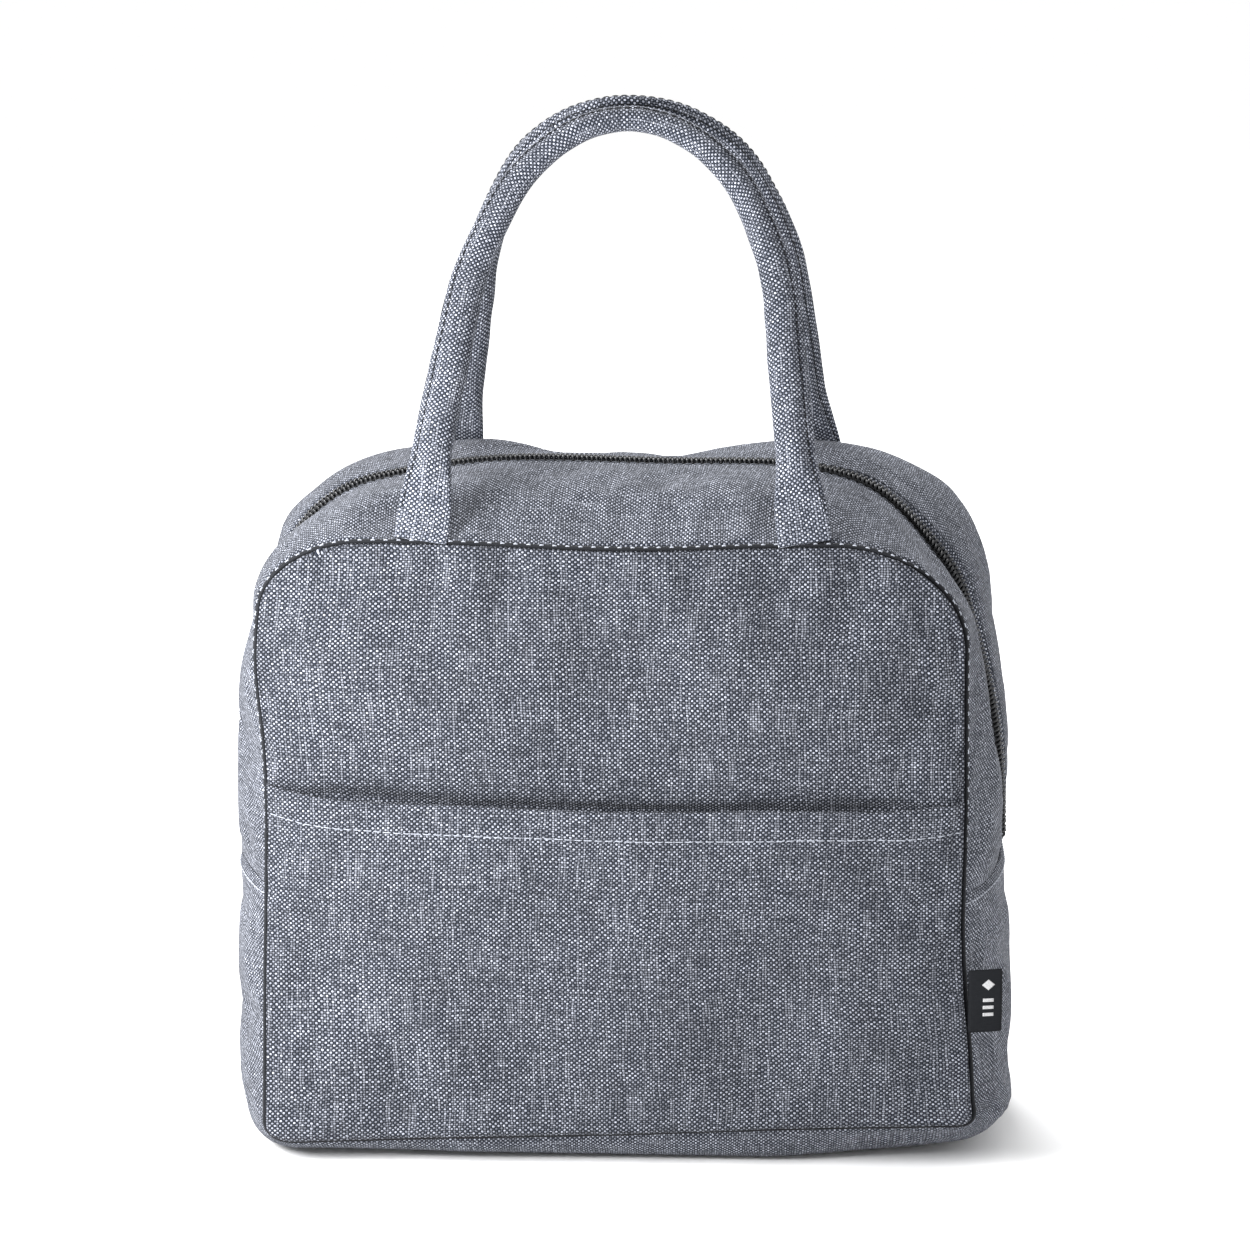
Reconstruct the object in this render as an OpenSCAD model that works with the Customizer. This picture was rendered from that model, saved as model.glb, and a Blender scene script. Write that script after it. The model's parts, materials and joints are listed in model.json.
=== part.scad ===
// Soft insulated lunch bag: front and rear panels joined by a gusset, a zip over
// the top, a slip pocket on the front and two rolled handles.
// X is to the right, Y to the rear, Z up. The origin is the middle of the flat base.

/* [Body] */
// Width between the left and right seams
body_w = 224; // [200:1:250]
// Depth between the front and rear seams
body_d = 134; // [120:1:150]
// Height of the top seams
seam_top = 208; // [190:1:225]
// How far the gusset stands proud of the seams
bulge = 12; // [8:1:13]
// Radius of the seams at the top corners
corner_top = 40; // [30:1:50]
// Radius of the seams at the bottom corners
corner_base = 12; // [12:1:20]
// Half of the flat depth along the middle of the gusset
flat_half = 30; // [20:1:36]

/* [Layers] */
// Thickness of the outer cloth
cloth = 1.0; // [0.8:0.1:1.2]
// Thickness of the foam insulation
foam = 3.0; // [2:0.5:4]
// Thickness of the foil lining
lining = 0.5; // [0.4:0.1:0.8]
// Width of the tape that binds the inner seams
binding_w = 6; // [5:1:8]
// Thickness of the binding tape
binding_t = 1.0; // [0.6:0.1:1.2]

/* [Mouth] */
// Height of the line that the front flap folds along
fold_z = 130; // [126:1:140]
// Height of the two ends of the zip
zip_end_z = 96; // [94:1:100]
// Height of the seam under the zip strips
strip_z = 94; // [80:1:94]
// Half of the gap between the cloth edges beside the zip
zip_gap = 4.2; // [4:0.1:5]
// Half of the width of the zip's two tapes together
tape_half = 12; // [10:1:15]
// Distance from the zip's centre line to the far side of the teeth
teeth_half = 3.1; // [2.8:0.1:3.4]

/* [Pocket] */
// Height of the pocket's mouth
pocket_z = 124; // [90:1:124]
// Gap between the pocket and the front panel
pocket_gap = 5.6; // [5.4:0.1:7]
// Depth of the hem along the pocket's mouth
hem_h = 8; // [6:1:12]

/* [Handles] */
// Height of the front handle's arch above the seam, along the handle
front_rise = 139; // [125:1:150]
// Height of the rear handle's arch above the seam, along the handle
rear_rise = 143; // [125:1:150]
// How far each handle leans in from upright, in degrees
lean = 25.7; // [20:0.1:25.7]
// Radius of the rolled handle
handle_r = 5.6; // [5:0.1:5.6]
// Radius of the cord inside the handle
core_r = 4.5; // [3.5:0.1:4.5]
// Width of the flat foot
foot_w = 18; // [14:1:22]
// Length over which the foot becomes round
foot_l = 33; // [28:1:40]
// Slope of the handle's legs, in degrees
leg_slope = 8; // [5:1:10]
// Radius of the arch's shoulders
shoulder_r = 92; // [85:1:98]
// Radius of the arch's crown
crown_r = 36; // [32:1:40]

/* [Label] */
// How far the side label stands out of the seam
label_w = 8.4; // [6:0.1:12]
// Height of the side label
label_h = 20; // [14:1:26]
// Height of the label's lower edge
label_z = 49.5; // [30:0.5:60]

/* [Zip slider] */
// Length of the slider
slider_l = 12; // [10:1:13]
// Width of the slider
slider_w = 7.4; // [7:0.1:7.8]
// Length of the pull tab below its eye
pull_l = 24; // [18:1:30]
// Width of the pull tab
pull_w = 6; // [5:0.5:7]

/* [Hidden] */
$fn = 64;

half_w = body_w / 2;
half_d = body_d / 2;
base_seam = bulge;
edge_power = 2.2;
edge_steps = 5;
knot_min = 0.2;
big = 400;
flap_gap = 0.05;

// Depths from the outer surface to the back of each layer
foam_back = cloth + foam;
wall = cloth + foam + lining;
layer_gap = 0.1;
// The gusset's foam and lining stop against the panels' linings
inner_half = half_d - wall - layer_gap;
panel_inset = cloth;
// The strips' foam and lining stop short of the zip's tapes
foam_gap = 0.3;

// Zip: rails for the teeth, the tapes below them and the slider's plates
teeth_top = 0.3;
teeth_back = 1.7;
tape_back = 2.3;
rail_gap = 0.7;
run_gap = 0.2;
plate_t = 1.4;
post_w = 1.0;
post_l = 3;
slider_z = zip_end_z + 2;
pin_r = 0.9;
eye_bore = 0.95;
eye_r = 1.7;
eye_w = 3;
ear_w = 0.9;
ear_gap = 0.1;
pin_off = plate_t + run_gap + eye_r;
pull_t = 1.2;
neck_h = 4;
neck_lap = 2;
pin_z = slider_z + 8;

label_out = 1.4;
label_t = 1.2;

// Handle pivots lie just outside the top seams
pivot_out = 0.6;
foot_gap = 3.5;
foot_t = 2.8;
crown_turn = 45;
foot_steps = 6;
arc_steps = 6;
cover_sides = 18;
core_sides = 12;
core_gap = 0.1;
slit_turn = 1.5;

cloth_grey = [0.46, 0.48, 0.53];
strip_grey = [0.43, 0.45, 0.50];
foam_white = [0.92, 0.92, 0.90];
foil = [0.78, 0.80, 0.83];
zip_black = [0.12, 0.12, 0.14];
label_black = [0.05, 0.05, 0.06];
slider_grey = [0.20, 0.20, 0.22];

// ---- outline of the seams and the gusset's profile ----

// Depths of the profile's points
knots = concat(
    [for (k = [edge_steps:-1:0]) -flat_half - (half_d - flat_half) * k / edge_steps],
    [for (k = [0:edge_steps]) flat_half + (half_d - flat_half) * k / edge_steps]);
function curve(y) = bulge * (1 - pow(max(0, abs(y) - flat_half) / (half_d - flat_half), edge_power));

// The profile all layers follow: pairs of a depth and how far the gusset stands proud there
profile = [for (y = knots) [y, curve(y)]];
function proud(y) = lookup(y, profile);
function depths(y0, y1) = concat([y0], [for (y = knots) if (y > y0 + knot_min && y < y1 - knot_min) y], [y1]);

// A layer of the gusset between two depths below its outer surface
module layer(t0, t1, y0, y1) {
    ys = depths(y0, y1);
    n = len(ys);
    polygon(concat(
        [for (i = [0:n - 1]) [proud(ys[i]) - t0, ys[i]]],
        [for (i = [n - 1:-1:0]) [proud(ys[i]) - t1, ys[i]]]));
}

module both_sides() {
    children();
    mirror([1, 0, 0]) children();
}

// The layer along the straight right side, between two heights
module side_run(z0, z1) {
    translate([half_w, 0, z0]) linear_extrude(z1 - z0) children();
}

// The layer over the top and down both sides to a height
module over_top(z0) {
    both_sides() {
        side_run(z0, seam_top - corner_top) children();
        translate([half_w - corner_top, 0, seam_top - corner_top]) rotate([-90, 0, 0])
            rotate([0, 0, -90]) rotate_extrude(angle = 90) translate([corner_top, 0]) children();
    }
    translate([half_w - corner_top, 0, seam_top]) rotate([0, -90, 0])
        linear_extrude(body_w - 2 * corner_top) children();
}

// The layer under the base and up both sides to a height
module under_base(z1) {
    both_sides() {
        side_run(base_seam + corner_base, z1) children();
        translate([half_w - corner_base, 0, base_seam + corner_base]) rotate([-90, 0, 0])
            rotate_extrude(angle = 90) translate([corner_base, 0]) children();
    }
    translate([half_w - corner_base, 0, base_seam]) rotate([0, -90, 0]) mirror([1, 0, 0])
        linear_extrude(body_w - 2 * corner_base) children();
}

// The seams' outline, drawn in X and Z, moved in by a distance
module outline(inset) {
    w = half_w - inset;
    z0 = base_seam + inset;
    z1 = seam_top - inset;
    rt = corner_top - inset;
    rb = corner_base - inset;
    translate([-w, z0 + rb]) square([2 * w, z1 - rt - z0 - rb]);
    translate([-w + rt, z1 - rt]) square([2 * (w - rt), rt]);
    translate([-w + rb, z0]) square([2 * (w - rb), rb]);
    for (s = [-1, 1]) {
        translate([s * (w - rt), z1 - rt]) circle(rt);
        translate([s * (w - rb), z0 + rb]) circle(rb);
    }
}

// A flat piece parallel to the front, from y0 to y1, between two heights
module slab(y0, y1, z0, z1) {
    translate([0, y1, 0]) rotate([90, 0, 0]) linear_extrude(y1 - y0) intersection() {
        children();
        translate([-half_w, z0]) square([body_w, z1 - z0]);
    }
}

module edge_ring(inset, width) {
    difference() {
        outline(inset);
        outline(inset + width);
    }
}

// ---- outer cloth ----

module base_gusset() {
    color(cloth_grey) under_base(strip_z) layer(0, cloth, -half_d, half_d);
}

module rear_panel() {
    color(cloth_grey) slab(half_d - cloth, half_d, 0, big) outline(panel_inset);
}

module rear_zip_strip() {
    color(strip_grey) {
        over_top(zip_end_z) layer(0, cloth, zip_gap, half_d);
        both_sides() side_run(strip_z, zip_end_z) layer(0, cloth, flap_gap, half_d);
    }
}

module front_zip_strip_lower() {
    color(strip_grey) both_sides() {
        side_run(zip_end_z, fold_z) layer(0, cloth, -half_d, -zip_gap);
        side_run(strip_z, zip_end_z) layer(0, cloth, -half_d, -flap_gap);
    }
}

module front_zip_strip() {
    color(strip_grey) over_top(fold_z + flap_gap) layer(0, cloth, -half_d, -zip_gap);
}

module front_panel_lower() {
    color(cloth_grey) slab(-half_d, -half_d + cloth, 0, fold_z) outline(panel_inset);
}

module front_panel_upper() {
    color(cloth_grey) slab(-half_d, -half_d + cloth, fold_z + flap_gap, big) outline(panel_inset);
}

module pocket_panel() {
    outer = half_d + pocket_gap + cloth;
    color(cloth_grey) {
        slab(-outer, -outer + cloth, 0, pocket_z) outline(panel_inset);
        slab(-outer + cloth, -half_d, 0, pocket_z) edge_ring(panel_inset, cloth);
        slab(-outer + cloth, -outer + 2 * cloth, pocket_z - hem_h, pocket_z)
            outline(panel_inset + cloth);
    }
}

// ---- foam insulation ----

module panel_foam(z0, z1) {
    color(foam_white) slab(-half_d + cloth, -half_d + foam_back, z0, z1) outline(panel_inset);
}

module base_foam() {
    color(foam_white) under_base(strip_z) layer(cloth, foam_back, -inner_half, inner_half);
}

module rear_foam() {
    mirror([0, 1, 0]) panel_foam(0, big);
}

module rear_strip_foam() {
    color(foam_white) over_top(strip_z + layer_gap)
        layer(cloth, foam_back, tape_half + foam_gap, inner_half);
}

module front_strip_foam_lower() {
    color(foam_white) both_sides() side_run(strip_z + layer_gap, fold_z)
        layer(cloth, foam_back, -inner_half, -tape_half - foam_gap);
}

module front_strip_foam() {
    color(foam_white) over_top(fold_z + flap_gap)
        layer(cloth, foam_back, -inner_half, -tape_half - foam_gap);
}

module front_foam_lower() {
    panel_foam(0, fold_z);
}

module front_foam_upper() {
    panel_foam(fold_z + flap_gap, big);
}

// ---- foil lining ----

module panel_lining(z0, z1) {
    color(foil) slab(-half_d + foam_back, -half_d + wall, z0, z1) outline(panel_inset);
}

module lining_base() {
    color(foil) under_base(strip_z) layer(foam_back, wall, -inner_half, inner_half);
}

module lining_rear() {
    mirror([0, 1, 0]) panel_lining(0, big);
}

module lining_rear_strip() {
    color(foil) over_top(strip_z + layer_gap)
        layer(foam_back, wall, tape_half + foam_gap, inner_half);
}

module lining_front_strip_lower() {
    color(foil) both_sides() side_run(strip_z + layer_gap, fold_z)
        layer(foam_back, wall, -inner_half, -tape_half - foam_gap);
}

module lining_front_strip() {
    color(foil) over_top(fold_z + flap_gap)
        layer(foam_back, wall, -inner_half, -tape_half - foam_gap);
}

module lining_front_lower() {
    panel_lining(0, fold_z);
}

module lining_front_upper() {
    panel_lining(fold_z + flap_gap, big);
}

// ---- tape that binds the inner seams ----

module binding(z0, z1) {
    color(zip_black) slab(-half_d + wall, -half_d + wall + binding_t, z0, z1)
        edge_ring(wall, binding_w);
}

module seam_binding_rear() {
    mirror([0, 1, 0]) binding(0, big);
}

module seam_binding_front_lower() {
    binding(0, fold_z);
}

module seam_binding_front_upper() {
    binding(fold_z + flap_gap, big);
}

// ---- zip ----

module zip_tape_rear() {
    color(zip_black) over_top(zip_end_z) layer(teeth_back, tape_back, rail_gap, tape_half);
}

module zip_teeth_rear() {
    color(zip_black) over_top(zip_end_z) layer(teeth_top, teeth_back, rail_gap, teeth_half);
}

module zip_tape_front_lower() {
    color(zip_black) both_sides() side_run(zip_end_z, fold_z)
        layer(teeth_back, tape_back, -tape_half, -rail_gap);
}

module zip_teeth_front_lower() {
    color(zip_black) both_sides() side_run(zip_end_z, fold_z)
        layer(teeth_top, teeth_back, -teeth_half, -rail_gap);
}

module zip_tape_front() {
    color(zip_black) over_top(fold_z + flap_gap)
        layer(teeth_back, tape_back, -tape_half, -rail_gap);
}

module zip_teeth_front() {
    color(zip_black) over_top(fold_z + flap_gap)
        layer(teeth_top, teeth_back, -teeth_half, -rail_gap);
}

// Places a piece at the left side's outer surface: its own X runs outwards
module at_left_side() {
    translate([-half_w - bulge, 0, 0]) mirror([1, 0, 0]) children();
}

// Two plates either side of the teeth, the post between the rails, and the
// ears with the pin that the pull tab hangs on
module slider_body() {
    lower_x = -tape_back - run_gap - plate_t;
    upper_x = -teeth_top + run_gap;
    color(slider_grey) at_left_side() {
        translate([upper_x, -slider_w / 2, slider_z]) cube([plate_t, slider_w, slider_l]);
        translate([lower_x, -slider_w / 2, slider_z]) cube([plate_t, slider_w, slider_l]);
        translate([lower_x, -post_w / 2, slider_z + slider_l - post_l])
            cube([upper_x - lower_x + plate_t, post_w, post_l]);
        for (s = [-1, 1]) translate([upper_x + plate_t / 2, s * (eye_w / 2 + ear_gap + ear_w / 2) - ear_w / 2,
            pin_z - eye_r]) cube([pin_off - upper_x + pin_r, ear_w, 2 * eye_r]);
        translate([pin_off, -eye_w / 2 - ear_gap - ear_w, pin_z]) rotate([-90, 0, 0])
            cylinder(r = pin_r, h = eye_w + 2 * (ear_gap + ear_w));
    }
}

// A flat tab that hangs from the slider's pin by its eye
module pull_tab() {
    color(slider_grey) at_left_side() difference() {
        union() {
            translate([pin_off, -eye_w / 2, pin_z]) rotate([-90, 0, 0]) cylinder(r = eye_r, h = eye_w);
            translate([pin_off - pull_t / 2, -eye_w / 2, pin_z - eye_r - neck_h])
                cube([pull_t, eye_w, eye_r + neck_h]);
            translate([pin_off - pull_t / 2, -pull_w / 2, pin_z - eye_r - pull_l])
                cube([pull_t, pull_w, pull_l - neck_lap]);
        }
        translate([pin_off, -eye_w, pin_z]) rotate([-90, 0, 0]) cylinder(r = eye_bore, h = 2 * eye_w);
        translate([pin_off - pull_t, 0, pin_z - pull_l + neck_lap]) rotate([0, 90, 0])
            cylinder(r = pull_w / 4, h = 2 * pull_t);
    }
}

// ---- label ----

module side_label() {
    color(label_black) translate([half_w, -half_d - label_out, label_z]) cube([label_w, label_t, label_h]);
}

// ---- handles ----

function leg_length(rise) = (rise - crown_r - (shoulder_r - crown_r) * sin(crown_turn)
    + shoulder_r * sin(leg_slope)) / cos(leg_slope);
function foot_x(rise) = leg_length(rise) * sin(leg_slope) + shoulder_r * cos(leg_slope)
    - (shoulder_r - crown_r) * cos(crown_turn);

// Stations along the right leg and half of the crown: [x, height, slope, length up the leg]
function stations(rise, start) = let (
    leg = leg_length(rise),
    x0 = foot_x(rise),
    shoulder_x = x0 - leg * sin(leg_slope) - shoulder_r * cos(leg_slope),
    shoulder_z = leg * cos(leg_slope) - shoulder_r * sin(leg_slope)) concat(
    [for (k = [0:start < foot_l ? foot_steps : 0])
        let (s = start + (foot_l - start) * k / foot_steps)
        [x0 - s * sin(leg_slope), s * cos(leg_slope), leg_slope, s]],
    [for (k = [0:arc_steps]) let (t = leg_slope + (crown_turn - leg_slope) * k / arc_steps)
        [shoulder_x + shoulder_r * cos(t), shoulder_z + shoulder_r * sin(t), t, leg]],
    [for (k = [1:arc_steps]) let (t = crown_turn + (90 - crown_turn) * k / arc_steps)
        [crown_r * cos(t), rise - crown_r + crown_r * sin(t), t, leg]]);

// The whole arch: the right half, then the left half back down
function arch(rise, start) = let (half = stations(rise, start), n = len(half)) concat(half,
    [for (i = [n - 2:-1:0]) [-half[i][0], half[i][1], 180 - half[i][2], half[i][3]]]);

// A smooth run from 0 to 1, used where the foot rounds up into the tube
function ease(u) = let (v = max(0, min(1, u))) v * v * (3 - 2 * v);
function power(v, e) = sign(v) * pow(abs(v), e);

// The cover's cross-section at a length up the leg, as points [outwards, across]: a folded
// strip whose two edges meet along the inner side of the arch
function ring(w, t, e) = [for (k = [0:cover_sides])
    let (a = 180 + slit_turn + (360 - 2 * slit_turn) * k / cover_sides)
    [w * power(cos(a), e), t * power(sin(a), e)]];
function flip(v) = [for (k = [len(v) - 1:-1:0]) v[k]];
function cover_section(s) = let (
    u = ease((s - foot_gap) / (foot_l - foot_gap)),
    w = foot_w / 2 + (handle_r - foot_w / 2) * u,
    t = foot_t / 2 + (handle_r - foot_t / 2) * u,
    e = 0.4 + 0.6 * u)
    concat(ring(w, t, e), flip(ring(w - cloth, t - cloth, e)));
function round_section(r) = [for (k = [0:core_sides - 1]) let (a = 360 * k / core_sides)
    [r * cos(a), r * sin(a)]];

// A closed solid through one section at each station. A folded section is closed at its
// ends by joining its outer points to its inner ones, and a round one by a flat face
module sweep(path, sections, folded) {
    n = len(path);
    m = len(sections[0]);
    points = [for (i = [0:n - 1]) for (q = sections[i])
        [path[i][0] + q[0] * cos(path[i][2]), q[1], path[i][1] + q[0] * sin(path[i][2])]];
    walls = [for (i = [0:n - 2]) for (k = [0:m - 1]) let (a = i * m + k, b = i * m + (k + 1) % m)
        each [[a, a + m, b], [b, a + m, b + m]]];
    last = (n - 1) * m;
    ends = folded ? [for (k = [0:m / 2 - 2]) let (a = k, b = k + 1, c = m - 2 - k, d = m - 1 - k)
            each [[a, b, c], [a, c, d], [last + c, last + b, last + a], [last + d, last + c, last + a]]]
        : [[for (k = [0:m - 1]) k], [for (k = [m - 1:-1:0]) last + k]];
    polyhedron(points, concat(walls, ends));
}

module cover(rise) {
    path = arch(rise, foot_gap);
    color(cloth_grey) sweep(path, [for (q = path) cover_section(q[3])], true);
}

module core(rise) {
    path = arch(rise, foot_l + core_gap);
    color(foam_white) sweep(path, [for (q = path) round_section(core_r)], false);
}

// Stands a handle on the front top seam, leaning back over the bag
module on_front_seam() {
    translate([0, -half_d - pivot_out, seam_top]) rotate([-lean, 0, 0]) children();
}

module handle_front_cover() {
    on_front_seam() cover(front_rise);
}

module handle_front_core() {
    on_front_seam() core(front_rise);
}

module handle_rear_cover() {
    mirror([0, 1, 0]) on_front_seam() cover(rear_rise);
}

module handle_rear_core() {
    mirror([0, 1, 0]) on_front_seam() core(rear_rise);
}

base_gusset();
rear_panel();
rear_zip_strip();
front_zip_strip_lower();
front_panel_lower();
pocket_panel();
base_foam();
rear_foam();
rear_strip_foam();
front_strip_foam_lower();
front_foam_lower();
lining_base();
lining_rear();
lining_rear_strip();
lining_front_strip_lower();
lining_front_lower();
zip_tape_rear();
zip_teeth_rear();
zip_tape_front_lower();
zip_teeth_front_lower();
seam_binding_rear();
seam_binding_front_lower();
side_label();
front_panel_upper();
front_zip_strip();
front_foam_upper();
front_strip_foam();
lining_front_upper();
lining_front_strip();
zip_tape_front();
zip_teeth_front();
seam_binding_front_upper();
handle_front_cover();
handle_front_core();
handle_rear_cover();
handle_rear_core();
slider_body();
pull_tab();
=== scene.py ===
import json
import math

import bpy
import numpy as np
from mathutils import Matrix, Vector


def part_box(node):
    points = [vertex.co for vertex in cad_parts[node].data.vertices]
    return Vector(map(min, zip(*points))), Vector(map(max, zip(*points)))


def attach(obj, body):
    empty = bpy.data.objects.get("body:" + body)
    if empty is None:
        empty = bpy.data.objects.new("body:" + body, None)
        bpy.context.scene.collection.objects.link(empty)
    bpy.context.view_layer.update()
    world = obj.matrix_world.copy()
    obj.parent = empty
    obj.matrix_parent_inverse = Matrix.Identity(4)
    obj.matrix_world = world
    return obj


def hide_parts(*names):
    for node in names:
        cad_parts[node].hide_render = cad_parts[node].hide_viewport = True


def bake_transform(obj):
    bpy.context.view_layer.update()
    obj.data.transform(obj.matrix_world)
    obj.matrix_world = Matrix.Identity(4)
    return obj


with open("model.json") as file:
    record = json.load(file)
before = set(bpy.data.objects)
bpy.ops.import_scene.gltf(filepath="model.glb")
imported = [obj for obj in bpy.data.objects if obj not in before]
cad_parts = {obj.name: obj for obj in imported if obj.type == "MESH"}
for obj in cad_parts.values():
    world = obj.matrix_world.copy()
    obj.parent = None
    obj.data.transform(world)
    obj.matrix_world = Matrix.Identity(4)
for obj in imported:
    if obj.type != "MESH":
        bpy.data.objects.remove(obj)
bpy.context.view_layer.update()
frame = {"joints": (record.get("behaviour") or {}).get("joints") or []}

MM = 0.001

# ---------------------------------------------------------------- sizes from the frame

lower_lo, lower_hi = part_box("front_panel_lower")
upper_lo, upper_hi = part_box("front_panel_upper")
gusset_lo, gusset_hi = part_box("base_gusset")
pocket_lo, pocket_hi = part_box("pocket_panel")
tape_lo, tape_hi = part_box("zip_tape_rear")
label_lo, label_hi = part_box("side_label")
slider_lo, slider_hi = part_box("slider_body")
pull_lo, pull_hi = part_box("pull_tab")

CLOTH = lower_hi.y - lower_lo.y
HALF_W = lower_hi.x + CLOTH
HALF_D = -lower_lo.y
TOP = upper_hi.z + CLOTH
BASE = lower_lo.z - CLOTH
BULGE = gusset_hi.x - HALF_W
STRIP_Z = gusset_hi.z
ZIP_END = tape_lo.z
TAPE_HALF = tape_hi.y
JOINTS = {joint["name"]: joint for joint in frame["joints"]}

SEAM_DIP = 2.4 * MM          # how far the seams lie in from the front and rear planes
SEAM_ROLL = 2.2 * MM         # how far the gusset rolls in at the seams
SKIN = 0.9 * MM              # thickness of the outer cloth
FOAM_BACK = 3.8 * MM         # depth of the foam's inner face
LINING_BACK = 4.3 * MM       # depth of the lining's inner face
ZIP_GAP = 3.5 * MM           # from the zip's centre line to the folded cloth
STEP = 2 * MM                # spacing of the points of a cloth

# ---------------------------------------------------------------- small maths


def smooth(value):
    """0 below 0, 1 above 1, and a smooth run between."""
    t = np.clip(value, 0, 1)
    return t * t * (3 - 2 * t)


def roll(distance, width):
    """1 at an edge, falling along a quarter ellipse to 0 at width from it."""
    t = 1 - np.clip(distance / width, 0, 1)
    return 1 - np.sqrt(np.maximum(1 - t * t, 0))


def ripple(a, b, wavelength, seed, terms=7):
    """Smooth seeded noise between about -1 and 1, over two coordinates."""
    rng = np.random.default_rng(seed)
    total = np.zeros(np.broadcast(a, b).shape)
    for _ in range(terms):
        angle = rng.uniform(0, math.tau)
        length = wavelength * rng.uniform(0.7, 1.6)
        along = a * math.cos(angle) + b * math.sin(angle)
        total += np.sin(math.tau * along / length + rng.uniform(0, math.tau))
    return total / math.sqrt(terms * 2)


def unit(vectors):
    return vectors / np.maximum(np.linalg.norm(vectors, axis=-1, keepdims=True), 1e-12)


def grid_normals(points):
    """Normals of a grid of points, from its own rows and columns."""
    return unit(np.cross(np.gradient(points, axis=0), np.gradient(points, axis=1)))


def arc_length(points):
    steps = np.linalg.norm(np.diff(points, axis=0), axis=1)
    return np.concatenate([[0], np.cumsum(steps)])


def along(points, distances):
    """Points at given distances along a polyline."""
    lengths = arc_length(points)
    return np.stack([np.interp(distances, lengths, points[:, k]) for k in range(3)], axis=1)


# ---------------------------------------------------------------- meshes


def make_mesh(name, points, faces, material, uv=None, flat=False):
    mesh = bpy.data.meshes.new(name)
    mesh.from_pydata(np.asarray(points).reshape(-1, 3).tolist(), [], [list(map(int, f)) for f in faces])
    mesh.validate()
    if uv is not None:
        layer = mesh.uv_layers.new(name="cloth")
        corner = np.empty(len(mesh.loops), int)
        mesh.loops.foreach_get("vertex_index", corner)
        layer.data.foreach_set("uv", np.asarray(uv).reshape(-1, 2)[corner].astype(np.float32).ravel())
    mesh.shade_flat() if flat else mesh.shade_smooth()
    mesh.materials.append(material)
    piece = bpy.data.objects.new(name, mesh)
    bpy.context.scene.collection.objects.link(piece)
    return piece


def grid_quads(rows, columns, first=0):
    index = np.arange(rows * columns).reshape(rows, columns) + first
    return np.stack([index[:-1, :-1], index[1:, :-1], index[1:, 1:], index[:-1, 1:]], -1).reshape(-1, 4)


def border(rows, columns):
    """Indices round the edge of a grid, and of each one's neighbour inside."""
    index = np.arange(rows * columns).reshape(rows, columns)
    edge = np.concatenate([index[0, :-1], index[:-1, -1], index[-1, :0:-1], index[:0:-1, 0]])
    row, column = edge // columns, edge % columns
    inner = index[np.clip(row, 1, rows - 2), np.clip(column, 1, columns - 2)]
    return edge, inner


def shell(name, outer, inner, uv, material):
    """A closed sheet between two grids of points, with a rounded rim."""
    rows, columns = outer.shape[:2]
    count = rows * columns
    flat_outer, flat_inner = outer.reshape(-1, 3), inner.reshape(-1, 3)
    middle = (flat_outer + flat_inner) / 2
    edge, neighbour = border(rows, columns)
    thickness = np.linalg.norm(flat_outer[edge] - flat_inner[edge], axis=1)
    bulge = unit(middle[edge] - middle[neighbour]) * thickness[:, None] * 0.5
    rim = middle[edge] + bulge
    points = np.concatenate([flat_outer, flat_inner, rim])
    quads = grid_quads(rows, columns)
    a, b, c = flat_outer[quads[:, 0]], flat_outer[quads[:, 1]], flat_outer[quads[:, 2]]
    outwards = np.einsum("ij,ij->i", np.cross(b - a, c - a), (flat_outer - flat_inner)[quads[:, 0]])
    turned = outwards.sum() < 0
    ring = np.arange(len(edge)) + 2 * count
    after, ring_after = np.roll(edge, -1), np.roll(ring, -1)
    top_rim = np.stack([edge, ring, ring_after, after], 1)
    low_rim = np.stack([ring, edge + count, after + count, ring_after], 1)
    faces = np.concatenate([quads, quads[:, ::-1] + count, top_rim[:, ::-1], low_rim[:, ::-1]])
    if turned:
        faces = faces[:, ::-1]
    uv = uv.reshape(-1, 2)
    rim_uv = uv[edge] + unit(uv[edge] - uv[neighbour]) * thickness[:, None] * 0.8
    return make_mesh(name, points, faces, material, np.concatenate([uv, uv, rim_uv]))


def layer(name, points, depth0, depth1, uv, material, straight=None):
    """A sheet of one layer of the wall, between two depths behind a grid of surface points."""
    inwards = -grid_normals(points)
    inside = np.array([0, 0, (TOP + BASE) / 2]) - points.reshape(-1, 3).mean(0)
    if np.einsum("ijk,k->", inwards, inside) < 0:
        inwards = -inwards
    if straight is not None:
        inwards = np.broadcast_to(straight, points.shape)
    shape = points.shape[:2] + (1,)
    near = points + inwards * np.broadcast_to(np.reshape(depth0, (-1, 1, 1) if np.ndim(depth0) == 1 else
                                                         np.shape(depth0) + (1,) * (3 - np.ndim(depth0))), shape)
    far = points + inwards * np.broadcast_to(np.reshape(depth1, np.shape(depth1) + (1,) * (3 - np.ndim(depth1))),
                                             shape)
    return shell(name, near, far, uv, material)


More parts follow.
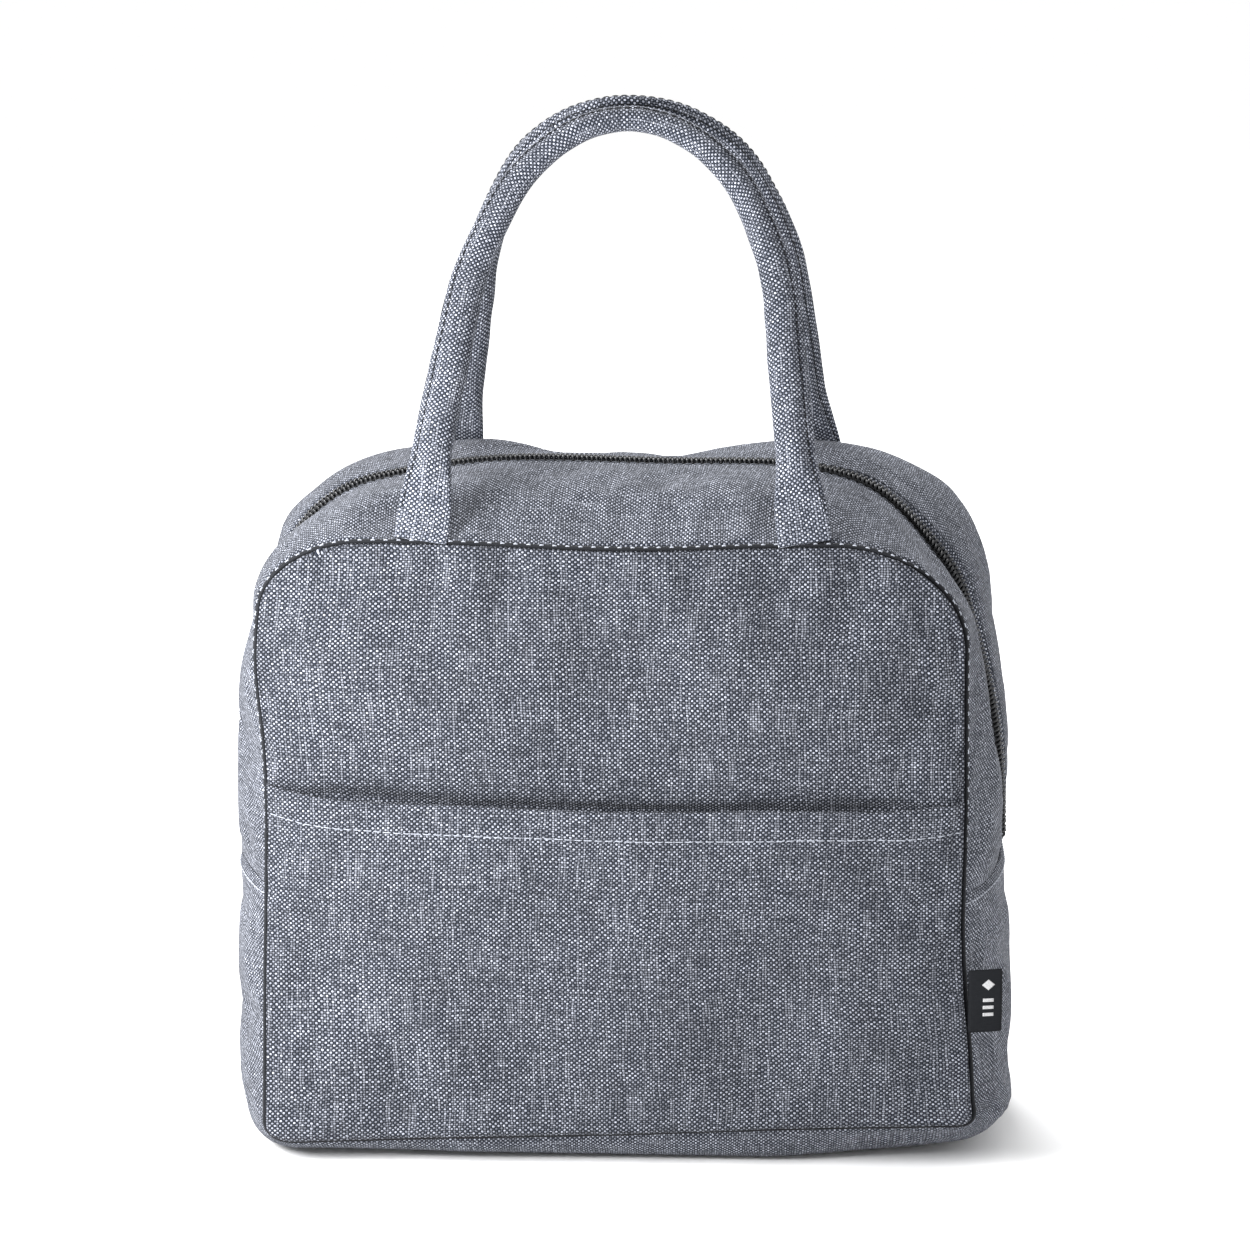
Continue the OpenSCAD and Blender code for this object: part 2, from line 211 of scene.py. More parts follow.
def tubes(name, paths, radius, material, sides=6, closed_ends=True):
    """Many short tubes in one mesh. paths is (tubes, rings, 3) and radius is one value for each ring."""
    count, rings = paths.shape[:2]
    tangent = unit(np.gradient(paths, axis=1))
    side = np.cross(tangent, [0.31, 0.52, 0.79])
    side = unit(side)
    up = np.cross(side, tangent)
    angle = np.arange(sides) / sides * math.tau
    circle = side[:, :, None] * np.cos(angle)[:, None] + up[:, :, None] * np.sin(angle)[:, None]
    points = paths[:, :, None] + circle * np.reshape(radius, (1, -1, 1, 1))
    index = np.arange(count * rings * sides).reshape(count, rings, sides)
    after = np.roll(index, -1, axis=2)
    walls = np.stack([index[:, :-1], after[:, :-1], after[:, 1:], index[:, 1:]], -1).reshape(-1, 4)
    faces = walls.tolist()
    if closed_ends:
        faces += index[:, 0, ::-1].tolist() + index[:, -1].tolist()
    return make_mesh(name, points, faces, material)


def stitch_row(name, line, normals, pitch, length, radius, material, lift=0.15 * MM):
    """A row of sewn stitches along a line on a surface."""
    total = arc_length(line)[-1]
    starts = np.arange(pitch / 2, total - pitch, pitch)
    share = np.array([0, 0.12, 0.35, 0.65, 0.88, 1.0])
    height = np.array([-1.6, 0.1, 0.75, 0.75, 0.1, -1.6]) * radius + lift
    at = starts[:, None] + share * length
    spots = along(line, at.ravel())
    lengths = arc_length(line)
    facing = unit(np.stack([np.interp(at.ravel(), lengths, normals[:, k]) for k in range(3)], 1))
    paths = (spots + facing * np.tile(height, len(starts))[:, None]).reshape(len(starts), -1, 3)
    taper = np.array([0.7, 1, 1, 1, 1, 0.7]) * radius
    return tubes(name, paths, taper, material)


# ---------------------------------------------------------------- the bag's soft shape

# How far each corner of a seam reaches along X and along Z, in mm
FRONT_CORNERS = {"top_right": (44, 34), "top_left": (32, 22), "base_left": (10, 8), "base_right": (7, 7)}
REAR_CORNERS = {"top_right": (33, 31), "top_left": (33, 31), "base_left": (10, 9), "base_right": (10, 9)}
SEAM_Y = HALF_D - SEAM_DIP


def settle(points):
    """The slump and lean of the whole soft body, the same for every layer and stitch on it."""
    x, y, z = points[..., 0], points[..., 1], points[..., 2]
    out = points.copy()
    height = np.clip((z - BASE) / (TOP - BASE), 0, 1.2)
    off_floor = smooth((z - 1 * MM) / (22 * MM))
    front = smooth(0.5 - y / (1.5 * HALF_D))
    across = x / HALF_W
    # The top seam sags between the handles
    middle = np.exp(-((x / (50 * MM)) ** 2))
    top = smooth((height - 0.75) / 0.25)
    out[..., 2] -= top * (1.9 * middle + 1.0 * smooth(-across) * front) * MM
    # The front seam runs downhill to the left along the base
    low = smooth(1 - height / 0.30)
    out[..., 2] += low * front * smooth(z / (8 * MM)) * across * 5.2 * MM
    # The lower corners are pushed outwards, and the left shoulder leans out
    out[..., 0] += front * smooth(1 - height / 0.42) * smooth(z / (6 * MM)) * (
        3.4 * smooth((across - 0.6) / 0.4) - 2.4 * smooth((-across - 0.6) / 0.4)) * MM
    out[..., 0] += 5.4 * MM * smooth((across - 0.7) / 0.35) * np.exp(-(((z - 7 * MM) / (8 * MM)) ** 2)) * smooth(
        z / (2.5 * MM))
    out[..., 0] += 3.4 * MM * front * smooth((-across - 0.6) / 0.4) * np.exp(-((z / (6 * MM)) ** 2))
    shoulder = np.exp(-(((z - 168 * MM) / (22 * MM)) ** 2))
    out[..., 0] -= front * shoulder * smooth((-across - 0.4) / 0.5) * 2.4 * MM
    wobble = off_floor * 0.5 * MM
    out[..., 0] += wobble * ripple(y, z, 78 * MM, 11)
    out[..., 2] += wobble * ripple(x, y, 84 * MM, 12)
    return out


def corner_arc(corner, reach, start, count):
    """Points of an elliptical corner, counted from a start angle round by a quarter turn."""
    rx, rz = reach[0] * MM, reach[1] * MM
    turn = start + np.linspace(0, math.pi / 2, count)
    return corner[0] + rx * np.cos(turn), corner[1] + rz * np.sin(turn)


def outline(corners, end_z, top):
    """The seams' outline from a height on the right, over the top or under the base, to the left."""
    up = 1 if top else -1
    level = TOP if top else BASE
    names = ("top_right", "top_left") if top else ("base_right", "base_left")
    (rx, rz), (lx, lz) = corners[names[0]], corners[names[1]]
    turn_count = 34 if top else 14
    side_count = max(int(abs(level - up * 30 * MM - end_z) / STEP), 2)
    flat_count = int(2 * (HALF_W - 30 * MM) / STEP)
    start = 0 if top else -math.pi / 2
    first = corner_arc((HALF_W - rx * MM, level - up * rz * MM), (rx, rz), 0, turn_count)
    second = corner_arc((-HALF_W + lx * MM, level - up * lz * MM), (lx, lz), math.pi / 2, turn_count)
    if not top:
        first = (first[0], 2 * (level + rz * MM) - first[1])
        second = (second[0], 2 * (level + lz * MM) - second[1])
    rise = np.linspace(end_z, first[1][0], side_count + 1)[:-1]
    over = np.linspace(first[0][-1], second[0][0], flat_count + 1)[1:-1]
    fall = np.linspace(second[1][-1], end_z, side_count + 1)[1:]
    x = np.concatenate([np.full(side_count, HALF_W), first[0], over, second[0], np.full(side_count, -HALF_W)])
    z = np.concatenate([rise, first[1], np.full(len(over), level), second[1], fall])
    tangent = unit(np.stack([np.gradient(x), np.gradient(z)], -1))
    return x, z, tangent[:, 1] * up, -tangent[:, 0] * up


class Run:
    """Stations along the gusset, with the outlines of its two seams."""

    def __init__(self, end_z, top):
        self.top = top
        self.front = outline(FRONT_CORNERS, end_z, top)
        self.rear = outline(REAR_CORNERS, end_z, top)
        x, z, nx, nz = self.front
        self.length = arc_length(np.stack([x, 0 * x, z], 1))
        half = len(x) // 2
        right = np.argmin(np.abs(np.arctan2(np.abs(nz[:half]), nx[:half]) - math.pi / 4))
        left = half + np.argmin(np.abs(np.arctan2(np.abs(nz[half:]), -nx[half:]) - math.pi / 4))
        # Distance from the middle of the nearer corner: positive towards the middle of the bag
        self.from_corner = np.minimum(self.length - self.length[right], self.length[left] - self.length)
        self.left = np.arange(len(x)) >= half
        self.end = np.minimum(self.length, self.length[-1] - self.length)

    def zip_height(self):
        """How far the middle of the gusset stands out: it cuts the corners, being no longer than the seams."""
        q = self.from_corner + 15 * MM
        side = np.where(self.left, 12.3 * MM * (1 - np.exp(-((q / (22 * MM)) ** 2))),
                        12.9 * MM * (1 - np.exp(-((q / (40 * MM)) ** 2))))
        return np.where(q > 0, 15.0 * MM * (1 - np.exp(-((q / (50 * MM)) ** 2))), side) - self.dip()

    def dip(self):
        """The zip sinks into the right shoulder, below the cloth behind it."""
        return np.where(self.left, 0, 4.8 * MM) * np.exp(-(((self.from_corner - 9 * MM) / (28 * MM)) ** 2))

    def place(self, y, out=0.0):
        """Points of the gusset's outer surface at depths y, raised outwards."""
        y = np.asarray(y, float)[None, :]
        share = smooth((y + SEAM_Y) / (2 * SEAM_Y))
        fx, fz, fnx, fnz = (v[:, None] for v in self.front)
        rx, rz, rnx, rnz = (v[:, None] for v in self.rear)
        x, z = fx * (1 - share) + rx * share, fz * (1 - share) + rz * share
        nx, nz = fnx * (1 - share) + rnx * share, fnz * (1 - share) + rnz * share
        inset = SEAM_Y - np.abs(y)
        t = np.clip(inset / SEAM_Y, 0, 1)
        if self.top:
            plateau = 1 - (1 - t) ** 2.7
            q, left = self.from_corner[:, None], self.left[:, None]
            spread = np.where(q > 0, 30, np.where(left, 26, 66)) * MM
            behind = 3.9 * MM + np.where(left, 3.2 * smooth((6 * MM - q) / (14 * MM)),
                                         3.6 * smooth(-q / (30 * MM))) * MM
            hump = np.where(y > 0, behind, 2.4 * MM) * np.exp(-(((q + left * 4 * MM) / spread) ** 2))
            hump = hump + (y > 0) * 0.8 * self.dip()[:, None]
            rise = self.zip_height()[:, None] * plateau + hump * np.sin(math.pi * t**0.8) ** 1.2
            # At the shoulders the zip is turned towards the front
            turned = np.where(left, 0.28 * np.exp(-(((q + 6 * MM) / (32 * MM)) ** 2)),
                              0.40 * np.exp(-(((q + 12 * MM) / np.where(q < -12 * MM, 95 * MM, 38 * MM)) ** 2)))
            rise = rise + turned * y * np.exp(-((y / (16 * MM)) ** 2))
            # Behind the zip the top sags in the middle and is drawn up beside the handle's feet
            crest = smooth(nz) * smooth(q / (30 * MM))
            drawn = 3.2 * np.exp(-(((np.abs(x - 5 * MM) - 54 * MM) / (21 * MM)) ** 2)) - 2.2 * np.exp(
                -(((x + 11 * MM) / (30 * MM)) ** 2))
            rise = rise + crest * drawn * MM * smooth((y - 3 * MM) / (16 * MM)) * np.sin(math.pi * t**0.6) ** 0.6
            loose = smooth(inset / (10 * MM)) * (1 - np.exp(-((y / (12 * MM)) ** 2)))
            rise = rise + loose * 0.55 * MM * ripple(self.length[:, None], y, 42 * MM, 51)
        else:
            low = np.maximum(-nz, 0)
            ends = smooth((np.abs(x) - 45 * MM) / (60 * MM))
            reach = SEAM_Y * (1 - low) + (23 + 26 * ends) * MM * low
            t = np.clip(inset / reach, 0, 1)
            plateau = 1 - (1 - t) ** (2.6 + 0.6 * low)
            corner = np.exp(-((self.from_corner[:, None] / (12 * MM)) ** 2))
            rise = ((12.8 - 0.8 * low) * MM * (1 - 0.12 * corner)) * plateau
            rise = rise + smooth(inset / (12 * MM)) * (1 - low) * 0.5 * MM * ripple(
                self.length[:, None], y, 46 * MM, 61)
        seam = np.exp(-np.maximum(inset, 0) / (8 * MM)) * smooth(inset / (2 * MM))
        rise = rise + seam * 0.32 * MM * ripple(self.length[:, None], 0 * y, 14 * MM, 55) * np.where(nz < -0.5, 0.3, 1)
        # The left side swells more in front of the zip
        belly = np.maximum(-nx, 0) * np.exp(-(((z - 100 * MM) / (38 * MM)) ** 2)) * np.exp(
            -(((y + 30 * MM) / (18 * MM)) ** 2))
        rise = rise + 1.4 * MM * belly
        # The cloth rolls out of the seam, whose allowance lies inside
        rise = rise - SEAM_ROLL * roll(inset, 2.4 * MM) + np.minimum(inset, 0)
        rise = rise + out
        points = np.stack([x + nx * rise, np.broadcast_to(np.clip(y, -SEAM_Y, SEAM_Y), rise.shape), z + nz * rise], -1)
        points = settle(points)
        points[..., 2] = np.maximum(points[..., 2], 0.05 * MM)
        return points

    def outward(self):
        nx = (self.front[2] + self.rear[2]) / 2
        nz = (self.front[3] + self.rear[3]) / 2
        return unit(np.stack([nx, 0 * nx, nz], 1))

    def uv(self, points):
        """Positions on the flat cloth, in metres, from distances over the surface."""
        across = np.linalg.norm(np.diff(points, axis=1), axis=2)
        across = np.concatenate([np.zeros((len(points), 1)), np.cumsum(across, axis=1)], axis=1)
        across -= across[:, [points.shape[1] // 2]]
        middle = arc_length(points[:, points.shape[1] // 2])
        return np.stack([across, np.broadcast_to(middle[:, None], across.shape)], -1)


def seam_distances(width):
    """Distances in from a seam to the far edge of a cloth, closer together near the seam."""
    near = np.array([-1.6, -0.7, 0, 0.15, 0.4, 0.8, 1.3, 1.9, 2.6, 3.6, 5.0]) * MM
    return np.concatenate([near, np.linspace(near[-1], width, int((width - near[-1]) / STEP) + 2)[1:]])


def edge_of_panel(corners, z):
    """The panel's left and right edges at a height."""
    edges = []
    for side, top_name, base_name in ((-1, "top_left", "base_left"), (1, "top_right", "base_right")):
        tx, tz = (v * MM for v in corners[top_name])
        bx, bz = (v * MM for v in corners[base_name])
        above = np.clip((z - (TOP - tz)) / tz, 0, 1)
        below = np.clip(((BASE + bz) - z) / bz, 0, 1)
        edges.append(side * (HALF_W - tx * (1 - np.sqrt(1 - above**2)) - bx * (1 - np.sqrt(1 - below**2))))
    return edges


def nearest_seam(corners, x, z):
    """Distance in from the seams' outline, and the outline's normal at its nearest point."""
    upper, lower = outline(corners, (TOP + BASE) / 2, True), outline(corners, (TOP + BASE) / 2, False)
    ring = np.concatenate([np.stack(upper, 1), np.stack(lower, 1)[::-1]])
    fine = np.concatenate([ring + (np.roll(ring, -1, 0) - ring) * k / 4 for k in range(4)])
    x, z = np.broadcast_arrays(x, z)
    flat = np.stack([x.ravel(), z.ravel()], 1)
    found = np.concatenate([((part[:, None, :] - fine[None, :, :2]) ** 2).sum(-1).argmin(1)
                            for part in np.array_split(flat, max(len(flat) // 2000, 1))])
    distance = np.linalg.norm(flat - fine[found, :2], axis=1)
    return distance.reshape(x.shape), fine[found, 2].reshape(x.shape), fine[found, 3].reshape(x.shape)


def inset_from(corners, x, z):
    return nearest_seam(corners, x, z)[0]


def edge_steps(length, count):
    """Shares of a length, closer together at both ends."""
    near = np.array([0, 0.35, 0.8, 1.3, 1.9, 2.7, 3.8, 5.2]) * MM / length
    middle = np.linspace(near[-1], 1 - near[-1], count - 2 * len(near) + 2)[1:-1]
    return np.concatenate([near, middle, 1 - near[::-1]])


def panel_grid(corners, z_top=TOP):
    """X and Z of the points of a panel, from its left edge to its right and from the base up."""
    rows = edge_steps(TOP - BASE, int((TOP - BASE) / STEP) + 8)
    turn = 1 - np.cos(np.linspace(0, math.pi / 2, 9)[1:-1])
    reach = max(corners["base_left"][1], corners["base_right"][1]) * MM
    rows = np.unique(np.concatenate([rows * (TOP - BASE) + BASE, BASE + reach * turn]).round(5))
    rows = rows[np.concatenate([[True], np.diff(rows) > 0.25 * MM])]
    rows = np.concatenate([rows[rows < z_top - 0.2 * MM], [z_top]])
    left, right = edge_of_panel(corners, rows)
    share = edge_steps(2 * HALF_W, int(2 * HALF_W / STEP) + 10)
    x = left[:, None] + (right - left)[:, None] * share[None, :]
    return x, np.repeat(rows[:, None], len(share), axis=1)


# Each crease is a shallow valley or ridge: where it starts and ends, its width and its height, in mm
FRONT_CREASES = [
    (-53, 206, -60, 176, 5, -1.5), (-45, 207, -49, 168, 8, 1.6), (-31, 206, -39, 174, 5, -1.4),
    (-20, 205, -26, 168, 9, 1.1), (66, 205, 60, 170, 8, 1.5), (82, 200, 54, 168, 7, -1.8),
    (96, 190, 62, 150, 9, 1.3), (30, 206, 22, 184, 7, -0.8), (-96, 186, -66, 156, 12, 1.2),
    (108, 150, 74, 134, 9, -0.9), (-110, 165, -86, 140, 11, -0.9), (10, 206, 6, 186, 8, 0.7),
]
POCKET_CREASES = [
    (-110, 72, -84, 62, 7, -0.9), (108, 100, 76, 88, 9, -0.9), (-60, 30, -20, 18, 12, 0.9),
    (40, 24, 98, 34, 11, -0.9), (110, 58, 84, 40, 8, 1.0), (-108, 36, -80, 20, 9, 0.9),
]


def creases(x, z, lines):
    total = np.zeros(np.broadcast(x, z).shape)
    for x0, z0, x1, z1, width, height in lines:
        ax, az, bx, bz = x0 * MM, z0 * MM, x1 * MM, z1 * MM
        length = math.hypot(bx - ax, bz - az)
        share = ((x - ax) * (bx - ax) + (z - az) * (bz - az)) / length**2
        across = ((x - ax) * (bz - az) - (z - az) * (bx - ax)) / length
        fade = smooth(share / 0.3 + 0.5) * smooth((1 - share) / 0.6)
        total += height * MM * fade * np.exp(-((across / (width * MM)) ** 2))
    return total


def panel_rise(x, z, corners, crown, seed, lines=()):
    """How far a panel stands out from the plane of its seams' outline."""
    distance = inset_from(corners, x, z)
    if lines:
        # The pocket's mouth presses a valley into the panel, which bulges over it
        above = z - pocket_mouth(x)
        valley = np.where(above > 0, np.exp(-np.maximum(above, 0) / (2.4 * MM)),
                          np.exp(-((above / (16 * MM)) ** 2)))
        crown = crown - 2.3 * MM * valley * (1 - np.clip(np.abs(x) / HALF_W, 0, 1) ** 8)
    swell = crown * (1 - np.exp(-distance / (26 * MM)))
    loose = ripple(x, z, 88 * MM, seed) * 0.8 * MM * smooth(distance / (22 * MM))
    angle = np.arctan2(z - (TOP + BASE) / 2, x) * 105 * MM
    near = np.exp(-np.maximum(distance - 2 * MM, 0) / (7 * MM)) * smooth(distance / (2.5 * MM))
    pucker = near * (ripple(angle, 0 * angle, 13 * MM, seed + 3) * 0.34
                     + ripple(angle, distance, 30 * MM, seed + 4) * 0.28) * MM
    rolled = -SEAM_DIP * roll(distance, 2.2 * MM)
    return swell + loose + (pucker + creases(x, z, lines)) * smooth(distance / (2 * MM)) + rolled


def place_panel(x, z, rise, front):
    """Points of a panel, whose edge is turned in under itself to make the seam's ditch."""
    side = -1 if front else 1
    distance, nx, nz = nearest_seam(FRONT_CORNERS if front else REAR_CORNERS, x, z)
    turned = 1 - np.clip(distance / (1.0 * MM), 0, 1)
    under, back = 2.8 * MM * turned, 0.3 * MM * turned
    return settle(np.stack([x - nx * under, side * (HALF_D + rise - back), z - nz * under], -1))


def backing_of(points, x, z, front):
    """A panel's points for its foam and lining, drawn in from its edges and not turned under."""
    _, nx, nz = nearest_seam(FRONT_CORNERS if front else REAR_CORNERS, x, z)
    distance = inset_from(FRONT_CORNERS if front else REAR_CORNERS, x, z)
    under = 2.8 * MM * (1 - np.clip(distance / (1.0 * MM), 0, 1))
    from_left, from_right = x - x[:, :1], x[:, -1:] - x
    from_base, from_top = z - BASE, TOP - z

    def pull(near, far):
        return 4.2 * MM * (np.maximum(1 - near / (10 * MM), 0) - np.maximum(1 - far / (10 * MM), 0))

    deeper = (1 if front else -1) * 1.4 * MM * (1 - smooth(distance / (6 * MM)))
    return points + np.stack([nx * under + pull(from_left, from_right), deeper,
                              nz * under + pull(from_base, from_top)], -1)


def relax(name, points, held, swell, slack):
    """A short cloth simulation of one sheet, sewn fast along its held points. It adds the small
    folds that pressure from inside and a little spare cloth give."""
    rows, columns = points.shape[:2]
    mesh = bpy.data.meshes.new(name)
    mesh.from_pydata(points.reshape(-1, 3).tolist(), [], grid_quads(rows, columns).tolist())
    sheet = bpy.data.objects.new(name, mesh)
    scene = bpy.context.scene
    scene.collection.objects.link(sheet)
    pins = sheet.vertex_groups.new(name="sewn")
    for index in np.nonzero(held.ravel())[0].tolist():
        pins.add([index], 1.0, "REPLACE")
    cloth = sheet.modifiers.new("cloth", "CLOTH")
    settings = cloth.settings
    settings.quality = 6
    settings.mass = 0.25
    settings.tension_stiffness = settings.compression_stiffness = 25
    settings.shear_stiffness = 8
    settings.bending_stiffness = 1.2
    settings.air_damping = 6
    settings.vertex_group_mass = "sewn"
    settings.shrink_min = -slack
    settings.effector_weights.gravity = 0
    settings.use_pressure = True
    settings.uniform_pressure_force = swell
    cloth.collision_settings.use_collision = False
    cloth.point_cache.frame_start, cloth.point_cache.frame_end = 1, 20
    for number in range(1, 21):
        scene.frame_set(number)
    evaluated = sheet.evaluated_get(bpy.context.evaluated_depsgraph_get())
    moved = np.empty(rows * columns * 3)
    evaluated.data.vertices.foreach_get("co", moved)
    scene.frame_set(1)
    bpy.data.objects.remove(sheet)
    bpy.data.meshes.remove(mesh)
    shift = moved.reshape(points.shape) - points
    far = np.linalg.norm(shift, axis=-1, keepdims=True)
    cap = 2.2 * MM
    return points + shift * np.where(far > cap, cap / np.maximum(far, 1e-9), 1.0)


# ---------------------------------------------------------------- materials


class Nodes:
    """Short forms for building a node material."""

    def __init__(self, name):
        self.material = bpy.data.materials.new(name)
        self.material.use_nodes = True
        self.tree = self.material.node_tree
        self.shader = self.tree.nodes["Principled BSDF"]

    def add(self, kind, **settings):
        node = self.tree.nodes.new(kind)
        for key, value in settings.items():
            setattr(node, key, value)
        return node

    def wire(self, source, target):
        self.tree.links.new(source, target)

    def feed(self, socket, value):
        if isinstance(value, bpy.types.NodeSocket):
            self.wire(value, socket)
        else:
            socket.default_value = value

    def math(self, operation, a, b=0.0, c=0.0):
        node = self.add("ShaderNodeMath", operation=operation)
        for socket, value in zip(node.inputs, (a, b, c)):
            self.feed(socket, value)
        return node.outputs[0]

    def run(self, value, low, high, to_low=0.0, to_high=1.0):
        node = self.add("ShaderNodeMapRange", interpolation_type="SMOOTHSTEP")
        for key, v in (("Value", value), ("From Min", low), ("From Max", high), ("To Min", to_low),
                       ("To Max", to_high)):
            self.feed(node.inputs[key], v)
        return node.outputs[0]

    def mix(self, factor, a, b, blend="MIX"):
        node = self.add("ShaderNodeMix", data_type="RGBA", blend_type=blend)
        self.feed(node.inputs[0], factor)
        self.feed(node.inputs[6], a)
        self.feed(node.inputs[7], b)
        return node.outputs[2]

    def noise(self, vector, scale, detail=2.0, roughness=0.5):
        node = self.add("ShaderNodeTexNoise")
        self.feed(node.inputs["Vector"], vector)
        node.inputs["Scale"].default_value = scale
        node.inputs["Detail"].default_value = detail
        node.inputs["Roughness"].default_value = roughness
        return node.outputs["Fac"]

    def stretched(self, vector, x, y, z=1.0):
        node = self.add("ShaderNodeMapping")
        self.feed(node.inputs["Vector"], vector)
        node.inputs["Scale"].default_value = (x, y, z)
        return node.outputs["Vector"]

    def bump(self, height, strength, distance):
        node = self.add("ShaderNodeBump")
        node.inputs["Strength"].default_value = strength
        node.inputs["Distance"].default_value = distance
        self.feed(node.inputs["Height"], height)
        self.wire(node.outputs["Normal"], self.shader.inputs["Normal"])

    def place(self):
        return self.add("ShaderNodeTexCoord").outputs["Object"]

    def cloth_place(self):
        return self.add("ShaderNodeUVMap", uv_map="cloth").outputs["UV"]

    def finish(self, color, roughness, metallic=0.0, sheen=0.0, specular=0.5):
        self.feed(self.shader.inputs["Base Color"], color)
        self.feed(self.shader.inputs["Roughness"], roughness)
        self.shader.inputs["Metallic"].default_value = metallic
        self.shader.inputs["Sheen Weight"].default_value = sheen
        self.shader.inputs["Sheen Roughness"].default_value = 0.5
        self.shader.inputs["Specular IOR Level"].default_value = specular
        return self.material


WARP = 0.88 * MM             # from one upright yarn of the outer cloth to the next
WEFT = 0.78 * MM             # from one level yarn to the next
# Near black, painted as shade into the hollows between the yarns
PAINTED_GAP_SHADE = (0.004, 0.005, 0.008, 1)
DARK_YARN = (0.024, 0.029, 0.042, 1)
LIGHT_YARN = (0.52, 0.545, 0.63, 1)


def cloth_material(name, painted_light_level=1.0):
    """Plain weave of a slate warp and a pale weft, each uneven along its length."""
    n = Nodes(name)
    place = n.cloth_place()
    apart = n.add("ShaderNodeSeparateXYZ")
    n.wire(place, apart.inputs[0])
    waver = n.noise(n.stretched(place, 1 / (14 * MM), 1 / (14 * MM)), 1.0, 1.0)
    shake = n.noise(n.stretched(place, 1 / (2.4 * MM), 1 / (2.4 * MM)), 1.0, 1.0)
    u = n.math("ADD", apart.outputs[0], n.math("MULTIPLY", waver, 2.2 * WARP))
    u = n.math("ADD", u, n.math("MULTIPLY", shake, 0.35 * WARP))
    v = n.math("ADD", apart.outputs[1], n.math("MULTIPLY", waver, -2.0 * WEFT))
    v = n.math("ADD", v, n.math("MULTIPLY", shake, -0.35 * WEFT))
    across = n.math("SINE", n.math("MULTIPLY", u, math.pi / WARP))
    up = n.math("SINE", n.math("MULTIPLY", v, math.pi / WEFT))
    over = n.math("MULTIPLY", across, up)
    slub_weft = n.noise(n.stretched(place, 1 / (13 * MM), 1 / (0.8 * MM)), 1.0, 3.0, 0.6)
    slub_warp = n.noise(n.stretched(place, 1 / (0.9 * MM), 1 / (16 * MM)), 1.0, 3.0, 0.6)
    fleck = n.noise(n.stretched(place, 1 / (1.1 * MM), 1 / (1.0 * MM)), 1.0, 2.0, 0.6)
    patch = n.noise(n.stretched(place, 1 / (30 * MM), 1 / (30 * MM)), 1.0, 3.0)
    weft = n.mix(n.run(n.math("ADD", slub_weft, n.math("MULTIPLY", fleck, 0.5)), 0.58, 0.90),
                 tuple(0.42 * c for c in LIGHT_YARN[:3]) + (1,), LIGHT_YARN)
    warp = n.mix(n.run(slub_warp, 0.50, 0.72), DARK_YARN, tuple(0.50 * c for c in LIGHT_YARN[:3]) + (1,))
    # Painted shade: the colour goes near black where the yarns part, in the hollows between the crossings
    warp = n.mix(n.run(over, -0.50, -0.12), warp, PAINTED_GAP_SHADE)
    # Painted light: each crossing's weft is darkened by its own random amount, standing in for how differently each
    # crossing catches the light
    cell = n.add("ShaderNodeCombineXYZ")
    n.wire(n.math("FLOOR", n.math("DIVIDE", u, WARP)), cell.inputs[0])
    n.wire(n.math("FLOOR", n.math("DIVIDE", v, WEFT)), cell.inputs[1])
    chance = n.add("ShaderNodeTexWhiteNoise", noise_dimensions="2D")
    n.wire(cell.outputs[0], chance.inputs["Vector"])
    weft = n.mix(n.run(chance.outputs["Value"], 0.0, 1.0, 0.55, 0.0), weft, DARK_YARN)
    # The pale weft shows where it lies over the warp, the cloth's own two-tone weave; it fades to the dark towards each
    # crossing's edge, a painted shade on the yarn's rounded sides
    color = n.mix(n.run(over, 0.08, 0.46), warp, weft)
    color = n.mix(n.run(fleck, 0.60, 0.78, 0.0, 0.30), color, LIGHT_YARN)
    color = n.mix(n.run(fleck, 0.26, 0.42, 0.40, 0.0), color, DARK_YARN)
    # The tone varies at random over patches, and is scaled by this copy's painted light level
    tone = n.run(patch, 0.3, 0.7, 0.90 * painted_light_level, 1.08 * painted_light_level)
    tint = n.add("ShaderNodeCombineColor")
    for socket in tint.inputs:
        n.feed(socket, tone)
    color = n.mix(1.0, color, tint.outputs[0], "MULTIPLY")
    crown = n.run(n.math("ABSOLUTE", over), 0.0, 0.8)
    height = n.math("ADD", crown, n.math("MULTIPLY", fleck, 0.4))
    n.bump(height, 0.6, 0.30 * MM)
    return n.finish(color, 0.85, sheen=0.03, specular=0.12)


def thread_material(name, color):
    n = Nodes(name)
    place = n.place()
    fibre = n.noise(place, 2600, 3.0)
    n.bump(fibre, 0.4, 0.1 * MM)
    return n.finish(n.mix(n.run(fibre, 0.3, 0.7), tuple(0.72 * c for c in color) + (1,), color + (1,)), 0.7,
                    sheen=0.05, specular=0.12)


def tape_material():
    """Ribbed black zip tape."""
    n = Nodes("zip_tape_weave")
    apart = n.add("ShaderNodeSeparateXYZ")
    place = n.cloth_place()
    n.wire(place, apart.inputs[0])
    ribs = n.math("SINE", n.math("MULTIPLY", apart.outputs[0], math.tau / (0.7 * MM)))
    picks = n.math("SINE", n.math("MULTIPLY", apart.outputs[1], math.tau / (0.45 * MM)))
    height = n.math("ADD", ribs, n.math("MULTIPLY", picks, 0.5))
    n.bump(height, 0.5, 0.15 * MM)
    fleck = n.noise(n.stretched(place, 1 / (0.6 * MM), 1 / (0.6 * MM)), 1.0)
    return n.finish(n.mix(fleck, (0.006, 0.0065, 0.008, 1), (0.018, 0.019, 0.022, 1)), 0.85, sheen=0.05, specular=0.15)


def nylon_material():
    n = Nodes("coil_nylon")
    mark = n.noise(n.place(), 900, 2.0)
    n.bump(mark, 0.12, 0.1 * MM)
    return n.finish(n.mix(mark, (0.006, 0.0065, 0.008, 1), (0.016, 0.017, 0.020, 1)),
                    n.run(mark, 0.3, 0.7, 0.38, 0.52), specular=0.3)


